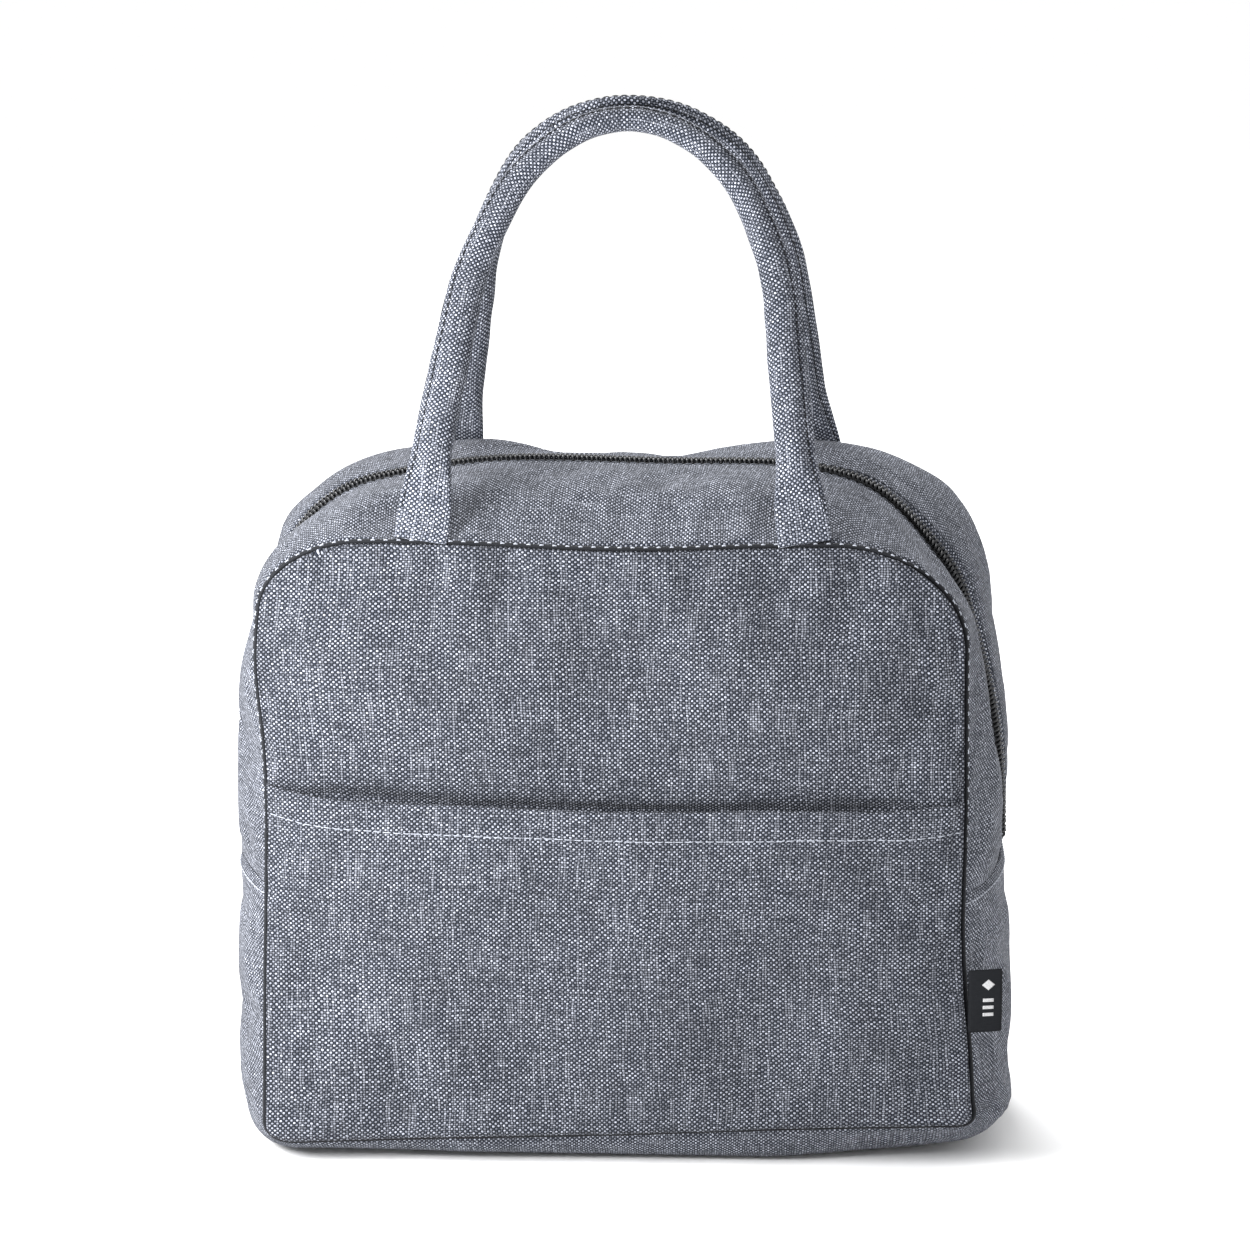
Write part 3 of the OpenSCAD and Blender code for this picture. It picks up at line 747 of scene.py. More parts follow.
def foil_material():
    """Aluminium-faced lining, embossed and creased."""
    n = Nodes("foil_lining_face")
    place = n.cloth_place()
    cell = n.add("ShaderNodeTexVoronoi", feature="DISTANCE_TO_EDGE")
    n.wire(n.stretched(place, 1 / (5 * MM), 1 / (5 * MM)), cell.inputs["Vector"])
    creased = n.noise(n.stretched(place, 1 / (16 * MM), 1 / (16 * MM)), 1.0, 6.0, 0.65)
    height = n.math("ADD", n.run(cell.outputs["Distance"], 0.0, 0.16), n.math("MULTIPLY", creased, 2.4))
    n.bump(height, 0.45, 0.5 * MM)
    # Painted shade: the foil's colour is darker in the low parts of its creases and lighter on their high parts
    return n.finish(n.mix(creased, (0.50, 0.52, 0.55, 1), (0.74, 0.76, 0.79, 1)),
                    n.run(creased, 0.3, 0.7, 0.30, 0.46), metallic=0.85)


def foam_material():
    n = Nodes("foam_cells")
    cell = n.add("ShaderNodeTexVoronoi")
    n.wire(n.place(), cell.inputs["Vector"])
    cell.inputs["Scale"].default_value = 900
    n.bump(cell.outputs["Distance"], 0.35, 0.3 * MM)
    # Painted shade: the foam's colour is darker in the pits of its cells, where the bump is low
    return n.finish(n.mix(cell.outputs["Distance"], (0.70, 0.70, 0.68, 1), (0.84, 0.84, 0.82, 1)), 0.9)


def metal_material():
    """Dark lacquered die-cast metal, rubbed a little on its edges."""
    n = Nodes("slider_lacquer")
    place = n.place()
    scuff = n.noise(place, 420, 5.0, 0.7)
    worn = n.add("ShaderNodeNewGeometry").outputs["Pointiness"]
    edge = n.math("MULTIPLY", n.run(worn, 0.52, 0.60), n.run(scuff, 0.45, 0.62))
    n.bump(scuff, 0.1, 0.1 * MM)
    return n.finish(n.mix(edge, (0.030, 0.031, 0.035, 1), (0.34, 0.34, 0.35, 1)),
                    n.run(scuff, 0.3, 0.7, 0.26, 0.44), metallic=0.85)


def label_material():
    """Black satin weave of the side label."""
    n = Nodes("label_satin")
    place = n.cloth_place()
    apart = n.add("ShaderNodeSeparateXYZ")
    n.wire(place, apart.inputs[0])
    rib = n.math("SINE", n.math("MULTIPLY", apart.outputs[1], math.tau / (0.36 * MM)))
    n.bump(rib, 0.4, 0.1 * MM)
    fleck = n.noise(n.stretched(place, 1 / (2 * MM), 1 / (0.4 * MM)), 1.0)
    return n.finish(n.mix(fleck, (0.004, 0.0045, 0.006, 1), (0.010, 0.011, 0.013, 1)), 0.7, specular=0.1)


def floor_material():
    n = Nodes("floor_paper")
    grain = n.noise(n.place(), 60, 3.0)
    n.bump(grain, 0.02, 0.2 * MM)
    return n.finish(n.mix(grain, (0.965, 0.965, 0.965, 1), (0.985, 0.985, 0.985, 1)), 0.9, specular=0.1)


# Painted light: these are copies of one fabric, made brighter on the strips and handles and darker on the panels and
# pocket, to stand in for how the light falls on them
PANEL_CLOTH = cloth_material("panel_cloth", 0.69)
POCKET_CLOTH = cloth_material("pocket_cloth", 0.71)
STRIP_CLOTH = cloth_material("strip_cloth", 0.96)
HANDLE_CLOTH = cloth_material("handle_cloth", 1.22)
TAPE = tape_material()
COIL = nylon_material()
FOIL = foil_material()
FOAM = foam_material()
METAL = metal_material()
LABEL = label_material()
PALE_THREAD = thread_material("pale_thread", (0.36, 0.38, 0.43))
GREY_THREAD = thread_material("grey_thread", (0.085, 0.092, 0.11))
# Dark stitches on the handles, and the painted shadow laid along the seams' ditches
DARK_THREAD_AND_DITCH_SHADOW = thread_material("dark_thread_and_ditch_shadow", (0.012, 0.013, 0.016))
WHITE_THREAD = thread_material("white_thread", (0.50, 0.50, 0.51))
CORD = thread_material("handle_cord_fibre", (0.62, 0.62, 0.60))

# ---------------------------------------------------------------- how pieces ride


def on_bag(piece, slot, *nodes):
    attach(piece, "bag")
    finish_piece(nodes)


def on_front(piece, slot, *nodes):
    """A piece of the front half: its placement is baked into its mesh, and the frame's parts that it replaces are
    hidden.
    """
    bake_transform(piece)
    finish_piece(nodes)


def finish_piece(nodes):
    if nodes:
        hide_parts(*nodes)


# ---------------------------------------------------------------- cloth pieces


def make_wall(name, points, uv, ride, cloth_nodes, foam_nodes, lining_nodes, backing=None):
    """The three layers of one part of the wall: cloth, foam and lining."""
    piece = layer(name, points, 0.0, SKIN, uv, PANEL_CLOTH if backing is not None else STRIP_CLOTH)
    ride(piece, "outer_cloth", *cloth_nodes)
    inner = (points if backing is None else backing)[3:-3, 3:-3]
    inner_uv = uv[3:-3, 3:-3]
    # A panel's backing is thickened straight inwards, since its tight corners would fold it
    straight = None if backing is None else np.array([0, -np.sign(inner[..., 1].mean()), 0])
    foam = layer(name + "_foam", inner, SKIN + 0.3 * MM, FOAM_BACK, inner_uv, FOAM, straight)
    ride(foam, "foam", *foam_nodes)
    lining = layer(name + "_lining", inner, FOAM_BACK + 0.1 * MM, LINING_BACK, inner_uv, FOIL, straight)
    ride(lining, "foil_lining", *lining_nodes)


def sewn_edge(shape, rows=2):
    held = np.zeros(shape, bool)
    held[:rows] = held[-rows:] = True
    held[:, :rows] = held[:, -rows:] = True
    return held


def front_panel():
    x, z = panel_grid(FRONT_CORNERS)
    points = place_panel(x, z, panel_rise(x, z, FRONT_CORNERS, 3.4 * MM, 21, FRONT_CREASES), True)
    points = relax("front_panel_rest", points, sewn_edge(x.shape, 5), 1.0, 0.012)
    make_wall("front_panel", points, np.stack([x, z], -1), on_front,
              ("front_panel_lower", "front_panel_upper"), ("front_foam_lower", "front_foam_upper"),
              ("lining_front_lower", "lining_front_upper"), backing_of(points, x, z, True))
    return points


def rear_panel():
    x, z = panel_grid(REAR_CORNERS)
    points = place_panel(x, z, panel_rise(x, z, REAR_CORNERS, 3.4 * MM, 41), False)
    points = relax("rear_panel_rest", points, sewn_edge(x.shape, 5), 1.0, 0.012)
    make_wall("rear_panel", points, np.stack([-x, z], -1), on_bag, ("rear_panel",), ("rear_foam",),
              ("lining_rear",), backing_of(points, x, z, False))


def pocket_mouth(x):
    """Height of the pocket's mouth, which sags between the side seams."""
    across = np.clip(np.abs(x) / HALF_W, 0, 1)
    sag = np.where(x < 0, 6.6, 3.6) * MM * across**3
    return pocket_hi.z - 2.6 * MM + sag


def pocket_rise(x, z):
    under = panel_rise(x, z, FRONT_CORNERS, 3.4 * MM, 21)
    share = np.clip((z - BASE) / (pocket_mouth(x) - BASE), 0, 1)
    slack = (1.2 + 3.0 * smooth(share * 1.5 - 0.5)) * MM * np.maximum(1 - (x / HALF_W) ** 6, 0)
    over = smooth(inset_from(FRONT_CORNERS, x, z) / (3 * MM))
    return under + (0.9 * MM + slack) * over + creases(x, z, POCKET_CREASES) * over


def pocket(panel):
    """A slack sheet sewn into the front seam, clear of the panel behind it."""
    x, z = panel_grid(FRONT_CORNERS, pocket_hi.z)
    share = (z - BASE) / (pocket_hi.z - BASE)
    z = BASE + share * (pocket_mouth(x) - BASE)
    points = place_panel(x, z, pocket_rise(x, z), True)
    held = sewn_edge(x.shape, 4)
    held[-4:, 6:-6] = False
    points = relax("pocket_rest", points, held, 0.4, 0.008)
    uv = np.stack([x + 3 * MM, z + 1 * MM], -1)
    hem = smooth((z - pocket_mouth(x) + 9.4 * MM) / (1.0 * MM))
    thickness = SKIN * 0.8 * (1 + 1.1 * hem)
    points[..., 1] -= 0.8 * MM * hem * smooth((HALF_W - np.abs(x)) / (8 * MM))
    inset = inset_from(FRONT_CORNERS, x, z)
    clear = (0.1 + 0.5 * smooth(inset / (5 * MM)) * (1 + hem)) * MM
    for column in range(x.shape[1]):
        behind = np.interp(points[:, column, 2], panel[:, column, 2], panel[:, column, 1])
        limit = behind - thickness[:, column] - clear[:, column]
        points[:, column, 1] = np.minimum(points[:, column, 1], limit)
    piece = shell("pocket", points, points + thickness[..., None] * np.array([0, 1.0, 0]), uv, POCKET_CLOTH)
    on_bag(piece, "outer_cloth", "pocket_panel")
    # The hem's stitches lie along the row of points nearest to their line
    level = pocket_mouth(x[-1]) - 8.9 * MM
    line = []
    for column in range(2, x.shape[1] - 2):
        line.append([np.interp(level[column], z[:, column], points[:, column, k]) for k in range(3)])
    line = np.array(line)
    row = stitch_row("pocket_hem_stitches", line, np.tile([0.0, -1.0, 0.0], (len(line), 1)),
                     3.2 * MM, 2.7 * MM, 0.16 * MM, PALE_THREAD, 0.05 * MM)
    on_bag(row, "outer_cloth")


def strip(rear):
    """One of the two strips of cloth beside the zip, from its end over the top to its other end."""
    run = Run(STRIP_Z - 5 * MM, True)
    width = SEAM_Y - ZIP_GAP
    edges = seam_distances(width)
    y = (SEAM_Y - edges) * (1 if rear else -1)
    points = run.place(y)
    held = sewn_edge(points.shape[:2], 6)
    held[:, -7:] = True
    points = relax("strip_rest", points, held, 0.8, 0.010)
    out = run.outward()[:, None, :]
    # The folded edge stands a little proud beside the coil, and is stitched down behind it
    fold = 0.45 * MM * np.exp(-(((width - edges - 1.1 * MM) / (0.9 * MM)) ** 2)) - 0.9 * MM * roll(
        width - edges, 0.9 * MM) - 0.35 * MM * np.exp(-(((width - edges - 2.5 * MM) / (0.5 * MM)) ** 2))
    tuck = 1.15 * MM * (1 - smooth((run.end - 4.0 * MM) / (3.0 * MM)))
    points = points + out * (fold[None, :, None] - tuck[:, None, None])
    uv = run.uv(points)
    name = "rear_zip_strip" if rear else "front_zip_strip"
    ride = on_bag if rear else on_front
    cloth = layer(name, points, 0.0, SKIN, uv, STRIP_CLOTH)
    back = slice(3, int(np.searchsorted(edges, width - 9 * MM)))
    inner, inner_uv = points[3:-3, 3:], uv[3:-3, 3:]
    foam = layer(name + "_foam", points[3:-3, back], SKIN + 0.3 * MM, FOAM_BACK, uv[3:-3, back], FOAM)
    rim = smooth((edges[3:] - (width - 12 * MM)) / (10 * MM))[None, :]
    depth = np.broadcast_to((FOAM_BACK + 0.1 * MM) * (1 - rim) + (SKIN + 1.9 * MM) * rim, inner.shape[:2])
    lining = layer(name + "_lining", inner, depth, depth + 0.4 * MM, inner_uv, FOIL)
    if rear:
        ride(cloth, "outer_cloth", "rear_zip_strip")
        ride(foam, "foam", "rear_strip_foam")
        ride(lining, "foil_lining", "lining_rear_strip")
    else:
        ride(cloth, "outer_cloth", "front_zip_strip", "front_zip_strip_lower")
        ride(foam, "foam", "front_strip_foam", "front_strip_foam_lower")
        ride(lining, "foil_lining", "lining_front_strip", "lining_front_strip_lower")
    column = int(np.argmin(np.abs(edges - (width - 2.5 * MM))))
    row = stitch_row(name + "_stitches", points[3:-3, column], np.broadcast_to(out[3:-3, 0], points[3:-3, 0].shape),
                     3.0 * MM, 2.5 * MM, 0.19 * MM, GREY_THREAD, 0.02 * MM)
    ride(row, "outer_cloth")


def base_gusset():
    run = Run(STRIP_Z, False)
    half = seam_distances(SEAM_Y)
    y = np.concatenate([-(SEAM_Y - half), (SEAM_Y - half)[-2::-1]])
    points = run.place(y)
    held = sewn_edge(points.shape[:2], 6)
    held |= points[..., 2] < 14 * MM
    points = relax("base_rest", points, held, 0.8, 0.010)
    points[..., 2] = np.maximum(points[..., 2], 0.05 * MM)
    out = run.outward()[:, None, :]
    # Its ends are folded under and stitched down over the strips
    lap = 0.35 * MM * (1 - smooth((run.end - 3 * MM) / (4 * MM))) - 0.8 * MM * roll(run.end, 1.0 * MM) \
        - 0.35 * MM * np.exp(-(((run.end - 2.3 * MM) / (0.6 * MM)) ** 2))
    inside = smooth((SEAM_Y - np.abs(y)) / (4 * MM))
    points = points + out * (lap[:, None] * inside[None, :])[..., None]
    make_wall("base_gusset", points, run.uv(points), on_bag, ("base_gusset",), ("base_foam",),
              ("lining_base",))
    nearest = int(np.argmin(np.abs(run.end[:20] - 2.3 * MM)))
    for side, row in (("right", nearest), ("left", len(run.end) - 1 - nearest)):
        line = points[row, 3:-3]
        stitches = stitch_row(f"base_seam_stitches_{side}", line, np.broadcast_to(out[row, 0], line.shape),
                              3.4 * MM, 2.7 * MM, 0.22 * MM, PALE_THREAD, 0.02 * MM)
        on_bag(stitches, "outer_cloth")


def seam_stitches():
    """A dark tube laid in the ditch of the front and rear seams as a painted shadow of the ditch, and the stitches over
    it.
    """
    middle = (TOP + BASE) / 2
    for front in (True, False):
        side = -1 if front else 1
        name = "front_seam" if front else "rear_seam"
        ride = on_front if front else on_bag
        for top in (True, False):
            run = Run(middle, top)
            line = run.place([side * SEAM_Y], out=SEAM_ROLL - 0.6 * MM)[:, 0] + np.array([0, side * 0.6 * MM, 0])
            # Painted shadow: a dark tube stands in for the shade in the seam's ditch
            ditch_shadow_tube = tubes(f"{name}_ditch_shadow_{'top' if top else 'base'}", line[None],
                           np.full(len(line), 0.72 * MM), DARK_THREAD_AND_DITCH_SHADOW, sides=8)
            ride(ditch_shadow_tube, "outer_cloth")
            facing = unit(run.outward() + np.array([0, side, 0]))
            if top:
                row = stitch_row(name + "_stitches", line + facing * 0.6 * MM, facing, 4.1 * MM, 1.3 * MM,
                                 0.22 * MM, PALE_THREAD, 0.12 * MM)
                ride(row, "outer_cloth")


def bindings():
    """Tape folded over the raw edges of the inner seams."""
    for front in (True, False):
        corners = FRONT_CORNERS if front else REAR_CORNERS
        upper, lower = outline(corners, (TOP + BASE) / 2, True), outline(corners, (TOP + BASE) / 2, False)
        x, z, nx, nz = (np.concatenate([top[:-1], base[::-1][:-1]]) for top, base in zip(upper, lower))
        keep = np.concatenate([[True], np.hypot(np.diff(x), np.diff(z)) > 0.4 * MM])
        x, z, nx, nz = x[keep], z[keep], nx[keep], nz[keep]
        side = -1 if front else 1
        turn = np.arange(12) / 12 * math.tau
        parts = []
        for angle in turn:
            a, b = 3.3 * MM * math.cos(angle), 0.8 * MM * math.sin(angle)
            inwards = LINING_BACK + 4.4 * MM + (a - b) * 0.7
            y = side * (HALF_D - LINING_BACK - 5.0 * MM + (a + b) * 0.7)
            parts.append(np.stack([x - nx * inwards, np.full(len(x), y), z - nz * inwards], 1))
        grid = settle(np.stack(parts, 1))
        rows, columns = grid.shape[:2]
        index = np.arange(rows * columns).reshape(rows, columns)
        down, across = np.roll(index, -1, 0), np.roll(index, -1, 1)
        faces = np.stack([index, across, np.roll(down, -1, 1), down], -1).reshape(-1, 4)
        uv = np.stack(np.broadcast_arrays(turn[None, :] * 2 * MM, arc_length(grid[:, 0])[:, None]), -1)
        piece = make_mesh("front_seam_binding" if front else "rear_seam_binding", grid, faces, TAPE, uv)
        if front:
            on_front(piece, "binding_tape", "seam_binding_front_lower", "seam_binding_front_upper")
        else:
            on_bag(piece, "binding_tape", "seam_binding_rear")


# ---------------------------------------------------------------- zip


def zip_pieces():
    """Two nylon coils, whose turns lie between each other, on two woven tapes."""
    run = Run(ZIP_END, True)
    beside = run.place([-ZIP_GAP, 0.0, ZIP_GAP])
    line, out = beside[:, 1], run.outward()
    level = unit(beside[:, 2] - beside[:, 0])
    out = unit(np.cross(level, unit(np.gradient(line, axis=0))))
    out *= np.sign((out * run.outward()).sum(1, keepdims=True))
    line = line + out * 0.35 * MM
    lengths = arc_length(line)
    pitch = 1.56 * MM
    share = np.array([0, 0.16, 0.40, 0.70, 0.90, 1.0])
    across = np.array([2.75, 3.0, 2.2, 0.9, -0.10, -0.35]) * MM
    height = np.array([-1.30, -0.35, 0.38, 0.45, 0.15, -0.70]) * MM
    lean = share * 0.95 * MM

    def between(values, at):
        return np.stack([np.interp(at, lengths, values[:, k]) for k in range(3)], 1)

    for rear in (False, True):
        side = 1 if rear else -1
        name = "rear" if rear else "front"
        starts = np.arange(0.8 * MM, lengths[-1] - 2.2 * MM, pitch) + (pitch / 2 if rear else 0)
        at = (starts[:, None] + lean).ravel()
        spot = between(line, at) + unit(between(out, at)) * np.tile(height, len(starts))[:, None] \
            + unit(between(level, at)) * side * np.tile(across, len(starts))[:, None]
        coil = tubes(f"zip_coil_{name}", spot.reshape(len(starts), -1, 3),
                     np.array([0.32, 0.40, 0.43, 0.43, 0.44, 0.36]) * MM, COIL)
        edges = np.concatenate([np.linspace(0.35, 3.4, 5), np.linspace(4.4, TAPE_HALF / MM + 2.5, 8)]) * MM
        depth = 1.35 * MM + 0.35 * MM * smooth((edges - 2.6 * MM) / (2 * MM)) + 0.9 * MM * smooth(
            (edges - 5 * MM) / (10 * MM))
        points = line[:, None] - out[:, None] * depth[None, :, None] + level[:, None] * (side * edges)[None, :, None]
        uv = np.stack(np.broadcast_arrays(edges[None, :], lengths[:, None]), -1)
        tape = layer(f"zip_tape_{name}_side", points, 0.0, 0.45 * MM, uv, TAPE)
        if rear:
            on_bag(coil, "zip_coil", "zip_teeth_rear")
            on_bag(tape, "zip_tape", "zip_tape_rear")
        else:
            on_front(coil, "zip_coil", "zip_teeth_front", "zip_teeth_front_lower")
            on_front(tape, "zip_tape", "zip_tape_front", "zip_tape_front_lower")


# ---------------------------------------------------------------- slider and pull


def smooth_block(name, profile, y0, y1, material, bevel):
    """A rounded block: a profile in X and Z drawn through from y0 to y1."""
    import bmesh
    work = bmesh.new()
    near = [work.verts.new((x, y0, z)) for x, z in profile]
    far = [work.verts.new((x, y1, z)) for x, z in profile]
    work.faces.new(near)
    work.faces.new(far[::-1])
    for k in range(len(profile)):
        after = (k + 1) % len(profile)
        work.faces.new((near[after], near[k], far[k], far[after]))
    bmesh.ops.recalc_face_normals(work, faces=work.faces)
    sharp = [edge for edge in work.edges if edge.calc_face_angle(0) > 0.5]
    bmesh.ops.bevel(work, geom=sharp, offset=bevel, segments=3, profile=0.6, affect="EDGES")
    mesh = bpy.data.meshes.new(name)
    work.to_mesh(mesh)
    work.free()
    mesh.shade_smooth()
    mesh.materials.append(material)
    piece = bpy.data.objects.new(name, mesh)
    bpy.context.scene.collection.objects.link(piece)
    return piece


def plate_outline(length, wide, narrow, count=10):
    """Half-widths of a slider's plate along its length, tapering to its rear end."""
    share = np.linspace(0, 1, count)
    width = narrow + (wide - narrow) * smooth(share * 1.25)
    ends = np.sqrt(np.clip(np.minimum(share, 1 - share) / 0.10, 0, 1)) * 0.35 + 0.65
    return share * length, width * ends


def slider():
    """The slider at the left end of the zip, and the tab that hangs from its bridge."""
    pin = Vector(JOINTS["pull_swing"]["pos_m"])
    face = -HALF_W - BULGE
    z0, length = slider_lo.z, slider_hi.z - slider_lo.z
    half = (slider_hi.y - slider_lo.y) / 2
    parts = []
    for name, wide, x0, x1 in (("slider_top_plate", half, face - 1.7 * MM, face - 0.55 * MM),
                               ("slider_back_plate", half * 0.8, slider_hi.x - 0.5 * MM, slider_hi.x + 0.5 * MM)):
        z, width = plate_outline(length, wide, wide * 0.72)
        loop = [(w, h) for w, h in zip(width, z)] + [(-w, h) for w, h in zip(width[::-1], z[::-1])]
        plate = smooth_block(name, [(y, h) for y, h in loop], x0, x1, METAL, 0.28 * MM)
        # The block is drawn along Y, so its sides are swapped to lie flat against the zip
        for vertex in plate.data.vertices:
            x, y, h = vertex.co
            vertex.co = (y, x, h + z0)
        plate.data.flip_normals()
        parts.append(plate)
    for side in (-1, 1):
        flange = smooth_block(f"slider_flange_{'rear' if side > 0 else 'front'}", [
            (face - 1.4 * MM, z0 + 0.8 * MM), (face - 1.4 * MM, z0 + length - 1.4 * MM),
            (face - 0.1 * MM, z0 + length - 1.8 * MM), (face - 0.1 * MM, z0 + 1.2 * MM)],
            side * (half - 1.0 * MM), side * half * 0.985, METAL, 0.22 * MM)
        parts.append(flange)
    post = smooth_block("slider_post", [
        (face - 1.2 * MM, z0 + length - 3.0 * MM), (face - 1.2 * MM, z0 + length - 0.6 * MM),
        (slider_hi.x, z0 + length - 0.6 * MM), (slider_hi.x, z0 + length - 3.0 * MM)],
        -0.55 * MM, 0.55 * MM, METAL, 0.2 * MM)
    parts.append(post)
    # The bridge stands on the top plate at both ends and arches over the pull's eye
    turns = np.linspace(0, math.pi, 15)
    reach, stand = 3.5 * MM, face - 1.5 * MM
    crown = pin.x - 1.6 * MM
    outer = [(stand + (crown - stand) * math.sin(t) ** 0.7, pin.z - reach * math.cos(t)) for t in turns]
    inner_crown = crown + 0.85 * MM
    inner = [(stand + (inner_crown - stand) * math.sin(t) ** 0.7, pin.z - (reach - 0.95 * MM) * math.cos(t))
             for t in turns[::-1]]
    bridge = smooth_block("slider_bridge", outer + inner, -1.0 * MM, 1.0 * MM, METAL, 0.2 * MM)
    parts.append(bridge)
    for part in parts:
        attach(part, "zip_slider")
    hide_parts("slider_body")

    # The pull: a ring at the pin, a waist and a long rounded tab with a ridge round its edge
    top, bottom = pin.z + 1.7 * MM, pull_lo.z
    width = (pull_hi.y - pull_lo.y) / 2
    z = np.linspace(0, 1, 40)
    ring = np.sqrt(np.clip(1 - ((z - 0.085) / 0.085) ** 2, 0, 1)) * 2.1 * MM
    waist = 1.25 * MM * smooth((z - 0.08) / 0.02) * (1 - smooth((z - 0.30) / 0.06))
    tab = width * smooth((z - 0.20) / 0.16) * np.sqrt(np.clip((1 - z) / 0.09, 0, 1)).clip(0, 1)
    half_widths = np.maximum(np.maximum(ring, waist), tab)
    heights = top - z * (top - bottom)
    build_pull(pin, heights, half_widths, width)


def build_pull(pin, heights, half_widths, width):
    """A thin plate in Y and Z with a hole at each end and a raised rim."""
    across = np.linspace(-1, 1, 25)
    y = half_widths[:, None] * across[None, :]
    z = np.repeat(heights[:, None], len(across), axis=1)
    edge = np.minimum(1 - np.abs(across)[None, :], 1) * np.maximum(half_widths[:, None], 0.2 * MM)
    rim = 0.25 * MM * np.exp(-(((edge - 0.75 * MM) / (0.45 * MM)) ** 2))
    body = 0.55 * MM * (1 - roll(edge, 0.4 * MM)) + rim
    hole_at = ((pin.z, 1.05 * MM), (heights[-1] + 3.2 * MM, 1.35 * MM))
    keep = np.ones(y.shape, bool)
    for centre, radius in hole_at:
        away = np.hypot(y, z - centre)
        near = (away < radius * 1.35) & (away > 1e-9)
        pushed = np.maximum(away, radius)
        factor = np.where(near, pushed / np.maximum(away, 1e-9), 1.0)
        y, z = y * factor, centre + (z - centre) * factor
        keep &= away > radius * 0.55
    front = np.stack([pin.x - body, y, z], -1)
    back = np.stack([pin.x + body, y, z], -1)
    rows, columns = y.shape
    count = rows * columns
    quads = grid_quads(rows, columns)
    open_quads = quads[keep.ravel()[quads].all(1)]
    edges = {}
    for quad in open_quads:
        for k in range(4):
            a, b = int(quad[k]), int(quad[(k + 1) % 4])
            if (b, a) in edges:
                del edges[(b, a)]
            else:
                edges[(a, b)] = True
    faces = open_quads.tolist() + (open_quads[:, ::-1] + count).tolist()
    faces += [[b, a, a + count, b + count] for a, b in edges]
    piece = make_mesh("pull_tab_plate", np.concatenate([front.reshape(-1, 3), back.reshape(-1, 3)]), faces, METAL)
    merge_seam(piece)
    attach(piece, "zip_pull")
    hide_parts("pull_tab")


# ---------------------------------------------------------------- handles

LEG_SLOPE = math.radians(8)
CROWN_TURN = math.radians(45)
SHOULDER_R = 92 * MM
CROWN_R = 36 * MM
LEAN = math.radians(25.7)
FOOT_W = 17 * MM
TUBE_R = 5.5 * MM
HANDLE_RISE = {False: 139 * MM, True: 141.5 * MM}


def arch_line(rise, spacing=1.6 * MM):
    """The arch's centre line from one foot over the crown to the other: X, height and slope."""
    leg = (rise - CROWN_R - (SHOULDER_R - CROWN_R) * math.sin(CROWN_TURN)
           + SHOULDER_R * math.sin(LEG_SLOPE)) / math.cos(LEG_SLOPE)
    foot = (leg * math.sin(LEG_SLOPE) + SHOULDER_R * math.cos(LEG_SLOPE)
            - (SHOULDER_R - CROWN_R) * math.cos(CROWN_TURN))
    s = np.arange(-0.4 * MM, leg, spacing)
    turn = np.arange(LEG_SLOPE, CROWN_TURN, spacing / SHOULDER_R)
    crown = np.linspace(CROWN_TURN, math.pi / 2, int(CROWN_R * math.pi / 4 / spacing) + 1)
    shoulder_x = foot - leg * math.sin(LEG_SLOPE) - SHOULDER_R * math.cos(LEG_SLOPE)
    shoulder_z = leg * math.cos(LEG_SLOPE) - SHOULDER_R * math.sin(LEG_SLOPE)
    x = np.concatenate([foot - s * math.sin(LEG_SLOPE), shoulder_x + SHOULDER_R * np.cos(turn),
                        CROWN_R * np.cos(crown)])
    h = np.concatenate([s * math.cos(LEG_SLOPE), shoulder_z + SHOULDER_R * np.sin(turn),
                        rise - CROWN_R + CROWN_R * np.sin(crown)])
    slope = np.concatenate([np.full(len(s), LEG_SLOPE), turn, crown])
    x, h = np.concatenate([x, -x[-2::-1]]), np.concatenate([h, h[-2::-1]])
    return x, h, np.concatenate([slope, math.pi - slope[-2::-1]])


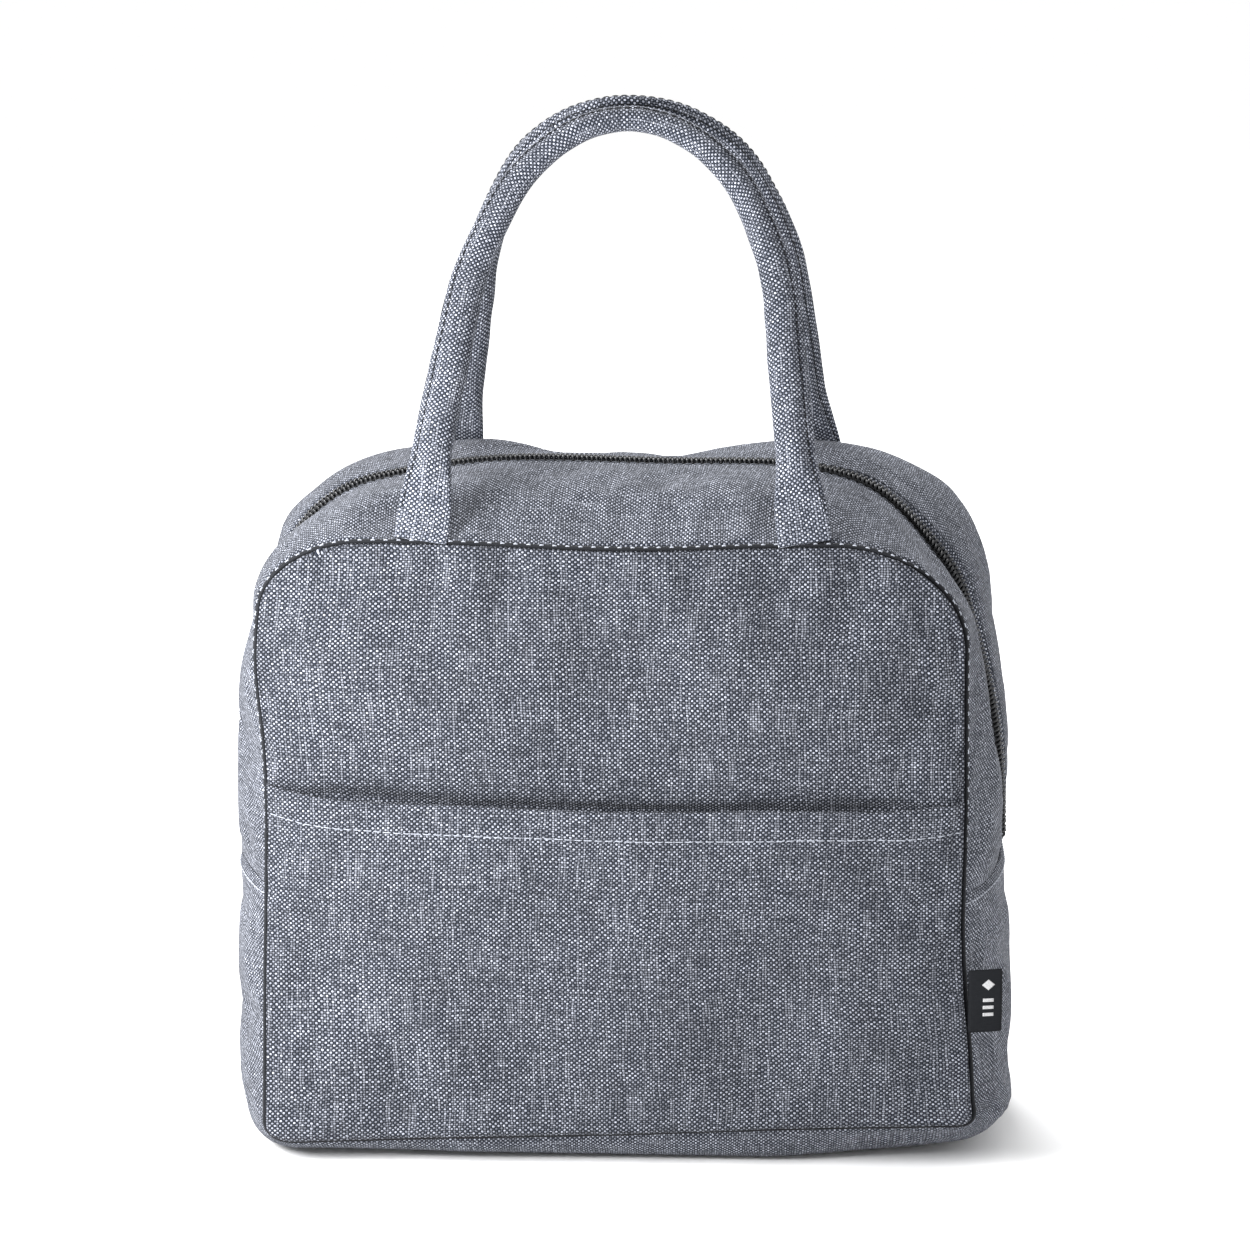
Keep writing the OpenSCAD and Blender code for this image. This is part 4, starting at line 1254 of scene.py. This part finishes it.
def handle(rear):
    """A rolled handle: cloth sewn into a tube round a cord, pressed flat at its two feet."""
    name = "rear_handle" if rear else "front_handle"
    x, h, slope = arch_line(HANDLE_RISE[rear])
    length = arc_length(np.stack([x, 0 * x, h], 1))
    total = length[-1]
    from_foot = np.minimum(length, total - length)
    round_up = smooth((from_foot - 6 * MM) / (27 * MM))
    turns = 48
    angle = np.arange(turns + 1) / turns * math.tau
    a, b = np.cos(angle), np.sin(angle)
    power = (0.55 + 0.45 * round_up)[:, None]
    # The roll is full above the feet and slims towards the crown
    slim = smooth((from_foot - 45 * MM) / (total / 2 - 45 * MM))
    radius = TUBE_R + (0.3 - 1.9 * slim) * MM
    wide = (FOOT_W / 2 + (radius - FOOT_W / 2) * round_up)[:, None]
    thick = (1.3 * MM + (radius + (0.6 * slim - 0.4) * MM - 1.3 * MM) * round_up)[:, None]
    out = wide * np.sign(a) * np.abs(a) ** power
    through = thick * np.sign(b) * np.abs(b) ** power
    # The joined edges of the cloth make a flat topstitched lip along the arch's outer side
    # and the rear handle is twisted, so that its lip comes round to the front at the shoulders
    twist = (0.9 if rear else 0.15) * np.exp(-(((from_foot - 0.36 * total) / (0.09 * total)) ** 2))
    side_turn = np.abs((angle[None, :] + twist[:, None] + math.pi) % math.tau - math.pi)
    lip = np.exp(-((side_turn / 0.50) ** 2)) * round_up[:, None] * (1 - 0.4 * slim[:, None])
    through = through * (1 - 0.45 * lip)
    out = out + 1.0 * MM * lip
    groove = np.exp(-(((side_turn - 0.70) / 0.11) ** 2)) * round_up[:, None]
    body = 1 - 0.07 * groove + 0.02 * ripple(length[:, None], angle[None, :] * 4 * MM, 15 * MM,
                                            81 + rear) * round_up[:, None]
    out, through = out * body, through * body
    # Small tucks where the cloth turns from flat to round
    tucks = np.exp(-(((from_foot - 24 * MM) / (11 * MM)) ** 2))[:, None]
    through = through + 0.30 * MM * tucks * np.cos(angle * 5 + 1.1)[None, :] * np.sign(b)
    bow = np.sin(math.pi * length / total)
    sway = (2.6 if not rear else 1.6) * MM * bow**2 + 0.8 * MM * ripple(
        length, 0 * length, 95 * MM, 85 + rear) * smooth(from_foot / (40 * MM))
    fuller = 1.9 * MM * np.exp(-(((h - h.max() + 18 * MM) / (12 * MM)) ** 2))
    cx = (0.99 if rear else 0.972) * x + np.sign(x) * fuller + sway - (0 if rear else 0.6) * MM
    across = 0.7 * MM * ripple(length, 0 * length, 80 * MM, 87 + rear) * smooth(from_foot / (40 * MM))
    local = np.stack([cx[:, None] + out * np.cos(slope)[:, None], through + across[:, None],
                      h[:, None] + out * np.sin(slope)[:, None]], -1)
    pivot = JOINTS["rear_handle_swing" if rear else "front_handle_swing"]["pos_m"]
    cos, sin = math.cos(LEAN), math.sin(LEAN)
    side = -1 if rear else 1

    def to_bag(p):
        bag = np.stack([p[..., 0], pivot[1] + side * (p[..., 1] * cos + p[..., 2] * sin),
                        pivot[2] - p[..., 1] * sin + p[..., 2] * cos], -1)
        near_seam = (1 - smooth((p[..., 2] - 4 * MM) / (30 * MM)))[..., None]
        # The foot lies on the gusset, into whose seam it is sewn
        bag = bag + (settle(bag) - bag) * near_seam
        bag[..., 1] += side * 2.4 * MM * near_seam[..., 0]
        return bag

    points = to_bag(local)
    rows, columns = points.shape[:2]
    girth = np.concatenate([np.zeros((rows, 1)), np.cumsum(np.linalg.norm(np.diff(points, axis=1), axis=2), axis=1)], 1)
    girth -= girth[:, [3 * turns // 4]]
    uv = np.stack(np.broadcast_arrays(girth, length[:, None]), -1)
    caps = [list(range(columns - 1)), [(rows - 1) * columns + k for k in range(columns - 1)][::-1]]
    cover = make_mesh(name + "_cover", points, grid_quads(rows, columns).tolist() + caps, HANDLE_CLOTH, uv)
    merge_seam(cover)

    def bend(piece, slot, *nodes):
        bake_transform(piece)
        finish_piece(nodes)

    bend(cover, "outer_cloth", "handle_rear_cover" if rear else "handle_front_cover")
    inner = slice(int(np.searchsorted(length, 34 * MM)), int(np.searchsorted(length, total - 34 * MM)))
    spine = to_bag(np.stack([cx, across, h], 1))[inner]
    core = tubes(name + "_core", spine[None], (radius - 1.7 * MM)[inner], CORD, sides=14)
    bend(core, "handle_cord", "handle_rear_core" if rear else "handle_front_core")
    column = int(round(0.70 / math.tau * turns))
    keep = slice(5, -5)
    for face, k in (("outer", turns - column), ("inner", column)):
        line = points[keep, k]
        facing = unit(line - points[keep].mean(1))
        row = stitch_row(f"{name}_stitches_{face}", line, facing, 3.0 * MM, 2.4 * MM, 0.20 * MM, DARK_THREAD_AND_DITCH_SHADOW,
                         0.12 * MM)
        bend(row, "outer_cloth")


def merge_seam(piece):
    """Joins points of a mesh that lie on each other."""
    import bmesh
    work = bmesh.new()
    work.from_mesh(piece.data)
    bmesh.ops.remove_doubles(work, verts=work.verts, dist=0.01 * MM)
    bmesh.ops.recalc_face_normals(work, faces=work.faces)
    work.to_mesh(piece.data)
    work.free()
    piece.data.shade_smooth()


# ---------------------------------------------------------------- label


def label():
    """A folded woven label caught in the right front seam, with a plain woven mark."""
    height, width = label_hi.z - label_lo.z, label_hi.x - label_lo.x + 1.7 * MM
    seam = np.array([[HALF_W, -SEAM_Y, (label_lo.z + label_hi.z) / 2]])
    shift = settle(seam)[0] - seam[0]

    def on_label(u, v, lift=0.0):
        curl = 0.9 * MM * u**2 - 0.5 * MM * np.sin(v * math.pi) * u + 0.2 * MM * np.sin(v * 9) * u
        return shift + np.stack([label_lo.x + 0.4 * MM + u * width, label_lo.y - 0.25 * MM + curl - lift,
                                 label_lo.z + v * height + 0.5 * MM * u], -1)

    u, v = np.meshgrid(np.linspace(0, 1, 15), np.linspace(0, 1, 25))
    points = on_label(u, v)
    piece = shell("side_label_tab", points, points + np.array([0, 0.75 * MM, 0]),
                  np.stack([u * width, v * height], -1), LABEL)
    on_bag(piece, "label", "side_label")
    centre, steps = 0.60, np.linspace(-1, 1, 9)

    def satin(name, rows):
        """A filled shape of close white threads: each has a height and a half-width."""
        paths = np.stack([on_label(centre + half * steps, np.full(9, level), 0.03 * MM) for level, half in rows])
        on_bag(tubes(name, paths, np.full(9, 0.14 * MM), WHITE_THREAD, sides=5), "label")

    satin("label_mark_diamond", [(0.77 + 0.085 * t, 0.20 * (1 - abs(t))) for t in np.linspace(-0.92, 0.92, 15)])
    for k, level in enumerate((0.52, 0.40, 0.28)):
        satin(f"label_mark_bar_{k}", [(level + d, 0.17) for d in (-0.021, -0.007, 0.007, 0.021)])


# ---------------------------------------------------------------- stage


def stage():
    bpy.ops.mesh.primitive_plane_add(size=8, location=(0, 2.0, -0.0003))
    floor = bpy.context.object
    floor.name = "floor"
    floor.data.materials.append(floor_material())
    world = bpy.data.worlds.new("studio")
    bpy.context.scene.world = world
    world.use_nodes = True
    world.node_tree.nodes["Background"].inputs[0].default_value = (1.0, 1.0, 1.0, 1)
    world.node_tree.nodes["Background"].inputs[1].default_value = 1.03
    bpy.context.scene.view_settings.view_transform = "Standard"
    bpy.context.scene.view_settings.look = "None"


def soft_light(name, place, aim, size, power):
    data = bpy.data.lights.new(name, "AREA")
    data.shape = "DISK"
    data.size = size
    data.energy = power
    lamp = bpy.data.objects.new(name, data)
    lamp.location = place
    lamp.rotation_euler = (Vector(aim) - Vector(place)).to_track_quat("-Z", "Y").to_euler()
    bpy.context.scene.collection.objects.link(lamp)


def camera():
    azimuth, elevation, distance = math.radians(3.34), math.radians(12.6), 1.6
    aim = Vector((-0.00024, 0, 0.1659))
    away = Vector((math.sin(azimuth) * math.cos(elevation), -math.cos(azimuth) * math.cos(elevation),
                   math.sin(elevation)))
    data = bpy.data.cameras.new("camera")
    data.lens = 140.1
    data.sensor_width = 36
    data.clip_start = 0.05
    data.clip_end = 50
    eye = bpy.data.objects.new("camera", data)
    eye.location = aim + away * distance
    eye.rotation_euler = (-away).to_track_quat("-Z", "Y").to_euler()
    bpy.context.scene.collection.objects.link(eye)
    bpy.context.scene.camera = eye


camera()
stage()
soft_light("key", (-0.26, -0.330, 0.25), (-0.02, -0.05, 0.13), 0.18, 4.0)
soft_light("back", (-0.3, 0.9, 1.3), (0, 0, 0.15), 0.8, 36)

front_cloth = front_panel()
rear_panel()
pocket(front_cloth)
strip(False)
strip(True)
base_gusset()
seam_stitches()
bindings()
zip_pieces()
slider()
handle(False)
handle(True)
label()
